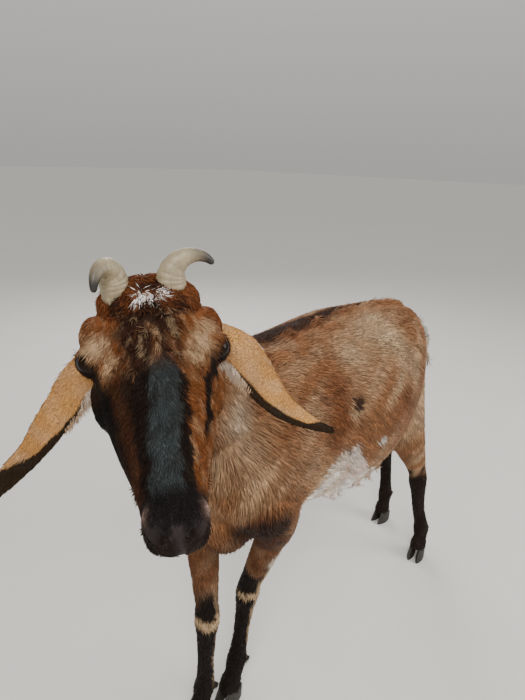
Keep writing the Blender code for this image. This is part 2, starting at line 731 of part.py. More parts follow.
def make_head(group, frame):
    """Head and nape at a fine voxel, with lids, nostrils and mouth line."""
    things = skull_masses(group, frame) + [tube("Nape", NECK[3:], group, axis=(1, 0.25, 0))]
    for side in (1, -1):
        place = eye_frame(frame, side)
        lid = ball("Lid", (0, 0, 0), (EYE_RADIUS + LID,) * 3, group)
        lid.data.transform(place)
        things.append(lid)
    head = remeshed(joined("HeadFlesh", things, group), HEAD_VOXEL, (7, 0))
    tools = [mouth("Mouth", group, frame)]
    for side in (1, -1):
        tools.append(nostril("Nostril", group, frame, side))
        place = eye_frame(frame, side)
        tools.append(almond("Opening", group, place, 0.0275, 0.0185, 0.004, 0.034))
    for tool in tools:
        cut(head, tool)
    removed(*tools)
    head = keep_largest(head, group)
    head = remeshed(head, HEAD_VOXEL * 0.8, (2, 0))
    return thinned(head, HEAD_TRIANGLES)


def make_eye(name, group, frame, side):
    """Eyeball whose cornea bulges a little, turned to look out between the lids."""
    eye = ball(name, (0, 0, 0), (EYE_RADIUS,) * 3, group, detail=14)
    for vertex in eye.data.vertices:
        height = vertex.co.z / EYE_RADIUS
        if height > 0.80:
            vertex.co.z += 0.0011 * (height - 0.80) / 0.20
    eye.data.transform(eye_frame(frame, side))
    return eye


def make_horn(name, group, frame, side):
    """Horn that rises, then curls out, back and down, oval and thinning to its tip."""
    which = 0 if side > 0 else 1
    up = Vector((side * 0.05, 0.35, 0.93)).normalized()
    out = Vector(HORN_OUT[which])
    out = (out - up * up.dot(out)).normalized()
    start = Vector((side * HORN_AT[0] + HORN_SHIFT, HORN_AT[1], HORN_AT[2]))
    rows = [(*(start - up * 0.026), HORN_BASE * 1.02, HORN_BASE * 1.15, HORN_BASE * 1.05),
            (*start, HORN_BASE, HORN_BASE * 1.12, HORN_BASE * 1.02)]
    start += up * HORN_RISE[which]
    for k in range(1, 11):
        t = k / 10
        angle = math.radians(HORN_SWEEP[which]) * t
        place = start + HORN_BEND[which] * (math.sin(angle) * up + (1 - math.cos(angle)) * out)
        half = HORN_BASE + (HORN_TIP - HORN_BASE) * t ** 0.95
        rows.append((*place, half, half * 1.12, half * 1.02))
    thing = tube(name, rows, group, axis=up.cross(out), steps=1, points=12)
    thing.data.transform(frame)
    return thing


def make_ear(name, group, frame, rows, side):
    """Hanging ear: a gutter that opens down and back, thick at root and rim."""
    path = between(rows, 3)
    places = [Vector(row[:3]) for row in path]
    rings = []
    last = len(path) - 1
    for i, row in enumerate(path):
        ahead = (places[min(i + 1, last)] - places[max(i - 1, 0)]).normalized()
        top = Vector((0.30 * side, -0.80, 0.52))            # the convex side looks here
        top = (top - ahead * ahead.dot(top)).normalized()
        across = ahead.cross(top).normalized()
        width, curl = row[3], math.radians(row[4])
        radius = width / (2 * math.sin(min(curl, math.pi) / 2))
        wall = EAR_WALL * (1.0 - 0.55 * i / last) + 0.0016 * max(0.0, 1 - 6 * i / last)
        outer, inner = [], []
        for k in range(13):
            angle = curl * (k / 12 - 0.5)
            ray = top * math.cos(angle) + across * math.sin(angle)
            centre = places[i] - top * radius * math.cos(curl / 2)
            edge = 1 - 0.35 * abs(2 * k / 12 - 1) ** 4
            outer.append(centre + ray * radius)
            inner.append(centre + ray * (radius - wall * edge))
        rings.append([frame @ p for p in outer + inner[::-1]])
    return loft(name, rings, group)


def make_claw(name, group, place, heading, side):
    """One half of a cloven hoof, flat below, with a sloping front wall."""
    rings = []
    outline = 14
    for level, grow, lean in ((0.0, 1.0, 0.0), (0.10, 1.0, 0.02), (0.55, 0.93, 0.30), (1.0, 0.84, 0.52)):
        ring = []
        for k in range(outline):
            angle = 2 * math.pi * k / outline
            x = math.cos(angle)
            y = math.sin(angle)
            toe = max(0.0, -y)
            x *= (1 - 0.42 * toe ** 3)
            if x * side < 0:
                x *= 0.80
            length = CLAW_LENGTH * 0.5 * (1 - 0.26 * level)
            point = Vector((x * CLAW_WIDTH * 0.5 * grow + side * CLAW_WIDTH * 0.56 * (1 - 0.06 * level),
                            y * length + CLAW_LENGTH * 0.30 * lean,
                            level * CLAW_HEIGHT * (1 - 0.30 * (y + 1) / 2)))
            ring.append(point)
        rings.append(ring)
    thing = loft(name, rings, group)
    thing.data.transform(Matrix.Translation((place[0], place[1], SOLE))
                         @ Matrix.Rotation(math.radians(heading), 4, "Z"))
    return thing


def main():
    clear_scene()
    goat = collection("nanny_goat")
    tools = collection("tools")
    frame = head_frame()

    # Flesh of body and neck, grown together and relaxed more above the legs than on them
    flesh = joined("Flesh", body_masses(tools), tools)

    def blend(point):
        return max(0.0, min(1.0, (point.z - 0.36) / 0.07))

    flesh = remeshed(flesh, BODY_VOXEL, (4, 34), blend)
    flesh = thinned(flesh, BODY_TRIANGLES)
    flesh = keep_largest(flesh, tools)
    skin = swollen(flesh, "Skin", GAP, tools)
    dice = random.Random(SEED)
    flesh = fused(flesh, body_locks(flesh, tools, dice), tools)

    # Feet: the claws first, and the legs end on them
    feet = {
        "fore_left": ((FORE_LEFT[-1][0], FORE_LEFT[-1][1] - 0.004), 4),
        "fore_right": ((FORE_RIGHT[-1][0], FORE_RIGHT[-1][1] - 0.004), 6),
        "hind_left": ((HIND_LEFT[-1][0], HIND_LEFT[-1][1] - 0.004), 8),
        "hind_right": ((HIND_RIGHT[-1][0], HIND_RIGHT[-1][1] - 0.004), -6),
    }
    claws = []
    for foot, (place, heading) in feet.items():
        for side, which in ((1, "left"), (-1, "right")):
            claw = make_claw(f"claw_{foot}_{which}", tools, place, heading, side)
            claws.append(claw)
            shell = swollen(claw, "Shell", GAP, tools)
            cut(flesh, shell)
            removed(shell)
    for claw in claws:
        finished(claw, claw.name, "claw", goat)
    # nothing of the flesh hangs lower than the claws' crowns
    low = slab("Low", (0, 0, CLAW_HEIGHT * 0.5 - 0.05), (0, 0, 1), (1.5, 1.5), 0.10, tools)
    cut(flesh, low)
    removed(low)

    # Thin cuts that part the flesh
    plates = [
        slab("ForeCut", (0, -0.40, FORE_CUT), (0, 0, 1), (0.6, 0.56), GAP, tools),
        slab("HindCut", (0, 0.45, HIND_CUT), (0, 0, 1), (0.6, 0.54), GAP, tools),
        slab("NeckCut", NECK_CUT[0], NECK_CUT[1], (0.5, 0.5), GAP, tools),
        slab("NapeCut", NAPE_CUT[0], NAPE_CUT[1], (0.5, 0.5), GAP, tools),
    ]
    for plate in plates:
        cut(flesh, plate)
    removed(*plates)
    parts = loose_parts(flesh, tools)
    named = {}
    for part in parts:
        x, y, z = middle_of(part)
        if len(part.data.vertices) < 60:
            removed(part)
        elif z < 0.36:
            end = "fore" if y < 0 else "hind"
            cross = -0.27 if end == "fore" else None
            side = ("left" if y > cross else "right") if cross else ("left" if x > 0 else "right")
            named[f"leg_{end}_{side}"] = part
        elif y > -0.20:
            named["torso"] = part
        elif z < 0.835 and y > -0.47:
            named["neck"] = part
        else:
            removed(part)
    for name, part in named.items():
        finished(part, name, "leg" if name.startswith("leg") else "coat", goat)

    # Head, its nape trimmed by a block behind the nape cut
    head = make_head(tools, frame)
    direction = Vector(NAPE_CUT[1]).normalized()
    behind = Vector(NAPE_CUT[0]) - direction * (0.15 - GAP * 0.5)
    block = slab("Behind", behind, direction, (0.6, 0.6), 0.30, tools)
    cut(head, block)
    removed(block)
    head_skin = swollen(head, "HeadSkin", GAP, tools)
    for side, name in ((1, "eye_left"), (-1, "eye_right")):
        eye = make_eye(name, tools, frame, side)
        shell = swollen(eye, "Shell", GAP, tools)
        cut(head, shell)
        removed(shell)
        finished(eye, name, "eye", goat)
    head = keep_largest(head, tools)
    head = fused(head, poll_locks(head, frame, tools, dice), tools)
    for name, side, rows in (("ear_left", 1, EAR_LEFT), ("ear_right", -1, EAR_RIGHT)):
        ear = remeshed(make_ear(name, tools, frame, rows, side), EAR_VOXEL, (2, 0))
        ear = thinned(ear, EAR_TRIANGLES)
        cut(ear, head_skin)
        finished(keep_largest(ear, tools), name, "ear", goat)
    for name, side in (("horn_left", 1), ("horn_right", -1)):
        horn = make_horn(name, tools, frame, side)
        cut(horn, head_skin)
        finished(keep_largest(horn, tools), name, "horn", goat)
    removed(head_skin)
    finished(head, "head", "face", goat)

    # Tail and udder end on the flesh
    tail = tube("tail", TAIL, tools, steps=3, points=12)
    tail = fused(tail, tail_locks(tail, tools, dice), tools)
    cut(tail, skin)
    finished(keep_largest(tail, tools), "tail", "tail", goat)
    bags = [ball("Bag", (0.014, 0.268, 0.440), (0.040, 0.054, 0.054), tools),
            ball("Bag", (-0.036, 0.268, 0.440), (0.040, 0.054, 0.054), tools)]
    for x, lean in ((0.022, 0.10), (-0.044, -0.10)):
        rows = [(x + grow * lean, 0.262 - 0.10 * grow, 0.412 - 0.58 * grow, half, half, half)
                for grow, half in ((0.0, 0.013), (0.05, 0.010), (0.09, 0.008), (0.10, 0.004))]
        bags.append(tube("Teat", rows, tools, steps=3, points=12))
    udder = remeshed(joined("udder", bags, tools), 0.0035, (6, 0))
    udder = thinned(udder, UDDER_TRIANGLES)
    cut(udder, skin)
    removed(skin)
    finished(keep_largest(udder, tools), "udder", "udder", goat)

    # The frame's origin is the middle of the underside
    corners = [v.co for thing in goat.objects for v in thing.data.vertices]
    low = Vector([min(c[i] for c in corners) for i in range(3)])
    high = Vector([max(c[i] for c in corners) for i in range(3)])
    shift = Vector((-(low.x + high.x) / 2, -(low.y + high.y) / 2, -low.z))
    for thing in goat.objects:
        thing.data.transform(Matrix.Translation(shift))
    bpy.data.collections.remove(tools)


main()
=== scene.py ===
"""Nanny goat in her coat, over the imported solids.

One skin replaces the solids of flesh. It lies inside them by the coat's depth, and solid
tufts on it follow the lie of the hair. Ears, eyes, lids, horns and claws are surfaces of
their own. Skin and tufts take their colour from the same functions of place.
"""

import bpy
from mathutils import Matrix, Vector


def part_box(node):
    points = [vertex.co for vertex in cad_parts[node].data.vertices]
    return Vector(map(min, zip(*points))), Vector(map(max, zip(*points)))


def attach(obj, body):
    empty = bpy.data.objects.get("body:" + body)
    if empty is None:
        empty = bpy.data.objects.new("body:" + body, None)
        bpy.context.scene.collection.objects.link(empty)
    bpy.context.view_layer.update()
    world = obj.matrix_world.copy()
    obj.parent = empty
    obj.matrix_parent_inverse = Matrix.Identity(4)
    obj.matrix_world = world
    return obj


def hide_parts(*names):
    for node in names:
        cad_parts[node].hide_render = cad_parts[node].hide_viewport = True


bl_info = {
    "name": "Nanny Goat",
    "version": (1, 0, 0),
    "blender": (4, 5, 0),
    "location": "3D View > Sidebar > Goat",
    "description": "Builds the goat's skin, coat, eyes, horns and claws over its solids",
    "category": "Add Mesh",
}

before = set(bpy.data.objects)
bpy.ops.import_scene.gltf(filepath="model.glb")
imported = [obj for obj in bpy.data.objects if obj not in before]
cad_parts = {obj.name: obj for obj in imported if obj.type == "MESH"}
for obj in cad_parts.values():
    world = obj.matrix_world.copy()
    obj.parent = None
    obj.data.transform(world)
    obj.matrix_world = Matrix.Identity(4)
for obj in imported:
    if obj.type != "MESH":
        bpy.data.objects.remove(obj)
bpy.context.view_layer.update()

import math

import bmesh
import bpy
import numpy as np
from bpy.props import FloatProperty, FloatVectorProperty, IntProperty, PointerProperty
from mathutils import Matrix, Vector

SEED = 7

# The goat's own frame: the trunk's middle near x = 0, the nose towards -Y
EYES_MIDDLE = (0.137, -0.526, 0.853)    # the head's origin in it
HEAD_TURN = math.radians(57.5)
HEAD_DROP = math.radians(27.0)
HEAD_LEAN = math.radians(4.2)
HEAD = np.array((Matrix.Rotation(HEAD_TURN, 3, "Z") @ Matrix.Rotation(HEAD_DROP, 3, "X")
                 @ Matrix.Rotation(-HEAD_LEAN, 3, "Y")))
EYE_AT = np.array((0.0590, 0.006, 0.006))
EYE_LOOK = np.array((0.71, -0.61, 0.35))
NAPE_AT = np.array((0.070, -0.468, 0.850))
NAPE_AHEAD = np.array((0.45, -0.62, 0.64)) / np.linalg.norm((0.45, -0.62, 0.64))
NAPE_OVERLAP = 0.010
NAPE_BLEND = (-0.022, 0.010)            # body colours behind it, face colours ahead
UDDER = ((-0.011, 0.262, 0.425), (0.085, 0.075, 0.085))     # centre and reach of its bell
SIDES = (("left", 1), ("right", -1))
FLESH = ["torso", "neck", "head", "tail", "udder", "leg_fore_left", "leg_fore_right",
         "leg_hind_left", "leg_hind_right"]


def box_middle(node):
    low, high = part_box(node)
    return np.array((low + high) / 2)


HEAD_AT = (box_middle("eye_left") + box_middle("eye_right")) / 2 - HEAD @ (EYE_AT * (0, 1, 1))
SHIFT = HEAD_AT - np.array(EYES_MIDDLE)


def linear(code):
    """Linear colour of an sRGB hex code."""
    parts = [int(code[i:i + 2], 16) / 255 for i in (1, 3, 5)]
    return tuple(p / 12.92 if p <= 0.04045 else ((p + 0.055) / 1.055) ** 2.4 for p in parts)


def hue(name, code, text):
    return FloatVectorProperty(name=name, description=text, default=linear(code), size=3,
                               min=0, max=1, subtype="COLOR")


def length(name, value, text):
    return FloatProperty(name=name, description=text, default=value, min=0, max=0.1,
                         unit="LENGTH", precision=4)


def count(name, value, text):
    return IntProperty(name=name, description=text, default=value, min=0)


class GoatColours(bpy.types.PropertyGroup):
    body: hue("Body", "#8b6040", "Mid brown of trunk and neck")
    light: hue("Light streaks", "#b89d7c", "Light grey tan streaks of croup and shoulder")
    red: hue("Reddish patches", "#6b3b1e", "Red brown patches on flank and brisket")
    dorsal: hue("Dorsal stripe", "#2c1a12", "Dark line along the back")
    white: hue("White", "#e8e2da", "Poll patch, belly, tail edge")
    black: hue("Black", "#070606", "Legs, face stripes, ear rims")
    # painted sheen: the gloss of the black hair down the nose, painted as a grey colour
    sheen_band: hue("Nose band", "#343939", "Grey band down the nose")
    orange: hue("Face orange", "#683c1c", "Orange brown stripes of the face")
    brow: hue("Brows", "#b89b78", "Tan over the eyes")
    ear: hue("Ears", "#c28f54", "Tan outside of the ears")
    pink: hue("Bare skin", "#c9a596", "Udder, inside of the ears")
    nose: hue("Nose leather", "#302828", "Rims of nostrils and lips")
    horn: hue("Horn", "#958669", "Grey beige of the horns")
    tip: hue("Horn tip", "#1f1914", "Dark tips of the horns")
    hoof: hue("Hoof", "#171412", "Hoof horn")
    iris: hue("Iris", "#140a05", "Dark brown of the eyes")
    floor: hue("Floor", "#d9d6d0", "Plain pale floor")


class GoatSizes(bpy.types.PropertyGroup):
    trunk_coat: length("Trunk coat", 0.0048, "Depth of the coat on trunk and neck")
    leg_coat: length("Leg coat", 0.0016, "Depth of the coat on the lower legs")
    face_coat: length("Face coat", 0.0012, "Depth of the coat on the face")
    trunk_hair: length("Trunk tuft", 0.030, "Length of a tuft on the trunk")
    neck_hair: length("Neck tuft", 0.034, "Length of a tuft on neck and chest")
    leg_hair: length("Leg tuft", 0.010, "Length of a tuft on the lower legs")
    face_hair: length("Face tuft", 0.009, "Length of a tuft on the face")
    poll_hair: length("Poll tuft", 0.017, "Length of a tuft between the horns")
    belly_hair: length("Belly tuft", 0.018, "Length of a tuft low on the flank")
    ear_hair: length("Ear tuft", 0.0065, "Length of a tuft on the ears")
    tail_hair: length("Tail tuft", 0.028, "Length of a tuft on the tail")
    eye_radius: length("Eye radius", 0.0150, "Radius of an eyeball")
    trunk_tufts: count("Trunk tufts", 84000, "Tufts on trunk and neck")
    leg_tufts: count("Leg tufts", 14000, "Tufts on the legs")
    face_tufts: count("Face tufts", 34000, "Tufts on the head")
    ear_tufts: count("Ear tufts", 11000, "Tufts on both ears")
    fringe_tufts: count("Ear fringe", 700, "Long pale tufts under each ear's rim")


def own(points):
    """Scene points in the goat's own frame."""
    return np.asarray(points) - SHIFT


def local(points):
    """Scene points in the head's frame: x to her left, y back, z up."""
    return (np.asarray(points) - HEAD_AT) @ HEAD


def from_head(points):
    """Points of the head's frame in the scene."""
    return np.asarray(points) @ HEAD.T + HEAD_AT


def ahead_of_nape(points):
    """How far scene points lie ahead of the plane between neck and head."""
    return (own(points) - NAPE_AT) @ NAPE_AHEAD


def ramp(value, low, high):
    """Smooth step from 0 at low to 1 at high; low may be the larger one."""
    t = np.clip((np.asarray(value) - low) / (high - low), 0, 1)
    return t * t * (3 - 2 * t)


def spot(points, centre, reach):
    """1 at a centre, falling as a bell to 0.1 at the reach; reach may differ by axis."""
    away = (points - np.asarray(centre)) / np.asarray(reach)
    return np.exp(-2.3 * np.sum(away * away, axis=1))


def noise(points, grain, seed):
    """Sum of 14 plane waves with a seeded direction and phase; about -1 to 1, grain metres wide."""
    dice = np.random.default_rng(seed)
    waves = dice.normal(size=(14, 3))
    waves /= np.linalg.norm(waves, axis=1)[:, None]
    waves *= (2 * math.pi / grain) * dice.uniform(0.45, 1.0, (14, 1))
    phase = dice.uniform(0, 2 * math.pi, 14)
    return np.sin(np.asarray(points) @ waves.T + phase).sum(axis=1) / 3.6


def sway(points, grain, seed):
    """Three noises, one for each axis."""
    return np.stack([noise(points, grain, seed + k) for k in range(3)], axis=1)


def unit(rows):
    return rows / np.maximum(np.linalg.norm(rows, axis=-1), 1e-9)[..., None]


# Markings


def painted(hues, base, layers):
    """Colours of points: a base hue, moved towards each layer's hue by its share, in order."""
    colour = np.tile(np.array(getattr(hues, base)), (len(layers[0][1]), 1))
    for name, share in layers:
        share = np.clip(share, 0, 1)[:, None]
        colour = colour * (1 - share) + np.array(getattr(hues, name)) * share
    return colour


def spots(p, table):
    """Layers from rows of a hue, a reach, levels and each spot's share, x, y and z. Where there
    are two levels, the spot's bell becomes a smooth step between them."""
    layers = []
    for name, reach, levels, *rows in table:
        for share, *centre in rows:
            bell = spot(p, centre, reach)
            layers.append((name, share * (ramp(bell, *levels) if levels else bell)))
    return layers


BODY_SPOTS = (
    ("light", 0.060, (), (0.62, 0.040, 0.090, 0.748), (0.62, 0.074, 0.078, 0.728),
     (0.62, 0.098, 0.078, 0.703), (0.62, 0.048, 0.021, 0.744), (0.62, 0.068, -0.060, 0.729),
     (0.62, 0.100, 0.150, 0.66)),
    ("light", (0.05, 0.040, 0.06), (), (0.30, 0.073, -0.083, 0.727), (0.30, 0.044, 0.008, 0.746),
     # the first spot here, on the neck beside the cheek, is painted light where the head shades the neck
     (0.75, 0.078, -0.352, 0.715), (0.6, 0.074, -0.336, 0.662), (0.4, 0.095, -0.330, 0.610),
     (0.4, 0.122, -0.196, 0.560), (0.45, 0.100, 0.185, 0.50)),
    # painted light: white on the neck beside the cheek, where the head shades it
    ("white", (0.05, 0.035, 0.05), (), (0.20, 0.077, -0.350, 0.710)),
    ("red", (0.06, 0.065, 0.065), (), (0.42, 0.117, -0.262, 0.625), (0.42, 0.125, 0.075, 0.600)),
    ("red", (0.05, 0.055, 0.06), (), (0.85, 0.106, -0.140, 0.665), (0.5, 0.102, -0.178, 0.682),
     (0.55, 0.118, -0.140, 0.615), (0.6, -0.125, -0.150, 0.640)),
)
BRISKET_SPOTS = (
    ("red", (0.07, 0.075, 0.060), (), (0.85, 0.100, -0.315, 0.515)),
    ("dorsal", (0.08, 0.075, 0.056), (0.1, 0.45), (0.96, 0.105, -0.312, 0.498)),
    ("dorsal", (0.06, 0.060, 0.055), (0.1, 0.5), (0.9, 0.070, -0.280, 0.435)),
    ("red", (0.06, 0.06, 0.05), (), (0.6, -0.06, -0.33, 0.50)),
    ("dorsal", (0.10, 0.08, 0.05), (), (0.55, 0.030, -0.340, 0.440)),
)
FLANK_SPOTS = (     # a white spot, and the dark whorl with its pale rim
    ("white", (0.05, 0.014, 0.014), (0.1, 0.5), (0.9, 0.128, -0.003, 0.553)),
    ("light", (0.05, 0.026, 0.026), (0.1, 0.6), (0.7, 0.114, -0.090, 0.645)),
    ("dorsal", (0.05, 0.017, 0.018), (0.1, 0.4), (0.96, 0.114, -0.081, 0.653)),
)
ARM_SPOT = (("white", (0.04, 0.022, 0.025), (0.1, 0.6), (0.6, 0.057, -0.215, 0.351)),)


def body_colours(points, hues):
    """Trunk, neck, legs and tail: soft patches and streaks laid over the mid brown."""
    p = own(points)
    x, y, z = p.T
    along = p @ np.array(((1, 0, 0), (0, 0.80, 0.60), (0, 0.6, -0.8))).T
    streak = noise(along * (1.0, 0.25, 1.0), 0.030, 3)
    layers = [("light", 0.14 + 0.30 * streak + 0.14 * noise(p, 0.16, 4)),
              ("red", 0.22 * ramp(noise(p, 0.12, 5), 0.0, 1.0))]
    layers += spots(p, BODY_SPOTS) + spots(p, BRISKET_SPOTS)
    # stripe along the back, over the middle of the trunk
    middle = np.interp(y, (-0.47, -0.40, -0.34, -0.30, -0.14, -0.05, 0.035, 0.105, 0.17),
                       (0.070, 0.038, 0.008, -0.008, -0.025, -0.035, -0.038, -0.035, -0.026))
    half = np.interp(y, (-0.42, -0.30, -0.24, -0.15, -0.05, 0.05, 0.12, 0.22),
                     (0.018, 0.026, 0.031, 0.027, 0.020, 0.013, 0.006, 0.0))
    edge = np.abs(x - middle) / np.maximum(half, 1e-4) + 0.22 * noise(p, 0.025, 6)
    low = np.interp(y, (-0.47, -0.40, -0.30, -0.20), (0.885, 0.800, 0.705, 0.685))
    top = ramp(z, low, low + 0.03) * ramp(y, 0.22, 0.14)
    layers += [("red", 0.6 * ramp(edge, 1.8, 1.1) * top),
               ("dorsal", 0.92 * ramp(edge, 1.25, 0.70) * top)]
    # belly and the white patch low on either flank
    ragged = z + 0.018 * noise(p, 0.05, 8)
    rim = np.interp(y, (-0.26, -0.19, -0.15, -0.12, -0.08, -0.03, 0.02, 0.10),
                    (0.40, 0.480, 0.560, 0.585, 0.560, 0.520, 0.47, 0.42))
    flank = ramp(ragged, rim + 0.006, rim - 0.016) * ramp(y, -0.235, -0.165) * ramp(y, 0.22, 0.12)
    blush = ramp(y, -0.15, -0.08) * ramp(noise(p, 0.06, 9), -0.9, 0.1)
    layers += [("white", 0.92 * flank), ("pink", 0.60 * flank * blush),
               ("light", 0.5 * flank * ramp(streak, 0.0, 0.9)), *spots(p, FLANK_SPOTS)]
    # tail, the seat under it and the rear edge of the left thigh
    rear = ramp(y, 0.322, 0.338) * ramp(z, 0.50, 0.56)
    tail = np.abs(x - 0.016)
    seat = ramp(np.abs(x - 0.005), 0.052, 0.036) * ramp(y, 0.300, 0.325)
    edge = np.interp(z, (0.55, 0.60, 0.64), (0.188, 0.208, 0.245))
    thigh = ramp(y, edge, edge + 0.03) * ramp(z, 0.67, 0.65) * ramp(z, 0.44, 0.50)
    layers += [("white", 0.95 * rear * ramp(tail, 0.003, 0.008)),
               ("white", 0.75 * seat * ramp(z, 0.67, 0.63) * ramp(z, 0.46, 0.54)),
               ("dorsal", 0.6 * rear * ramp(tail, 0.006, 0.002)),
               ("light", 0.65 * thigh * (x > 0))]
    # legs black below knee and hock, with tan behind and at the knee, and the upper forelegs darkened by
    # painted shade
    fore = ramp(y, 0.0, -0.05)
    ragged = z + 0.014 * noise(p, 0.035, 10)
    # painted shade on the upper forelegs under the chest
    arm_shade = fore * ramp(y, -0.19, -0.22) * ramp(z, 0.50, 0.44)
    right = y < np.interp(z, (0, 0.26, 0.36), (-0.320, -0.288, -0.275))
    top = np.where(right, 0.330, 0.352)
    shin = np.where(fore > 0.5, ramp(ragged, top, top - 0.040), ramp(ragged, 0.325, 0.290))
    knee = np.where(right, spot(p, (0.006, -0.340, 0.252), (0.05, 0.06, 0.016)),
                    spot(p, (0.022, -0.245, 0.2605), (0.06, 0.06, 0.0085)))
    front = np.where(right, np.interp(z, (0.10, 0.26, 0.34), (-0.335, -0.322, -0.325)),
                     np.interp(z, (0.10, 0.20, 0.26, 0.36), (-0.244, -0.240, -0.236, -0.224)))
    behind = ramp(y - front + 0.003 * noise(p, 0.02, 12), 0.0, 0.006) * ramp(z, 0.08, 0.12)
    behind *= np.where(right, ramp(z, 0.34, 0.29), ramp(z, 0.40, 0.34))
    layers += [("red", 0.45 * arm_shade), ("dorsal", 0.40 * arm_shade), ("black", 0.96 * shin),
               ("brow", 0.85 * ramp(knee, 0.1, 0.5) * ramp(noise(p, 0.03, 11), -1.2, 0.0) * fore),
               *spots(p, ARM_SPOT), ("brow", np.where(right, 0.35, 0.65) * behind * fore)]
    udder = ramp(spot(p, *UDDER), 0.30, 0.55) * ramp(z, 0.505, 0.47) * ramp(z, 0.30, 0.33)
    return painted(hues, "body", layers + [("pink", udder)])


# Edges of the face's stripes in the head's frame, as pairs of y and x: its right, its left
NOSE = (((-0.150, -0.026), (-0.099, -0.0225), (-0.050, -0.0215), (-0.030, -0.016)),
        ((-0.1463, 0.0176), (-0.1242, 0.0184), (-0.0731, 0.0212), (-0.0449, 0.0222), (-0.030, 0.012)))
# edges of the grey painted sheen down the black nose
SHEEN_BAND = (((-0.1415, -0.0181), (-0.1197, -0.0149), (-0.0854, -0.0122), (-0.0583, -0.0102), (-0.043, -0.0068)),
        ((-0.1487, 0.0102), (-0.1247, 0.0094), (-0.0733, 0.0145), (-0.0522, 0.0164), (-0.040, 0.0156)))
CHEEK = (((-0.0985, 0.0335), (-0.0666, 0.0364), (-0.0403, 0.0405), (-0.0249, 0.0470), (-0.010, 0.050)),
         ((-0.0985, 0.0345), (-0.0859, 0.0397), (-0.0617, 0.0445), (-0.0349, 0.0489), (-0.0249, 0.0560),
          (-0.010, 0.060)))
# middle line of the orange stripe on her right side, painted dark brown as painted shade
SHADED_RIGHT_STRIPE = ((-0.1381, -0.0265), (-0.0965, -0.0275), (-0.060, -0.033), (-0.030, -0.040))
BROWS = (       # share, reach, centre
    (0.72, 0.020, 0.0445, -0.0020, 0.0315), (0.60, 0.015, 0.0510, 0.0178, 0.0269),
    (0.60, 0.016, 0.0370, -0.0220, 0.0350), (0.72, 0.023, -0.0515, 0.0088, 0.0241),
    (0.50, 0.015, -0.041, -0.0200, 0.0301),
)
POLL_DARK = (   # centre, reach
    ((-0.026, 0.036, 0.055), (0.014, 0.010, 0.03)), ((0.0244, 0.0305, 0.052), (0.012, 0.010, 0.03)),
    ((-0.0010, 0.0180, 0.049), (0.018, 0.009, 0.03)), ((0.006, 0.050, 0.058), (0.026, 0.007, 0.03)),
)


def across(y, pairs):
    """Piecewise straight edge of a stripe: its x at each y."""
    return np.interp(y, *np.array(pairs).T)


def stripe(x, y, edges, out, into):
    """1 between two edges, each a smooth step from out beyond it to into within it."""
    low, high = (across(y, pairs) for pairs in edges)
    return ramp(x, high + out, high - into) * ramp(x, low - out, low + into)


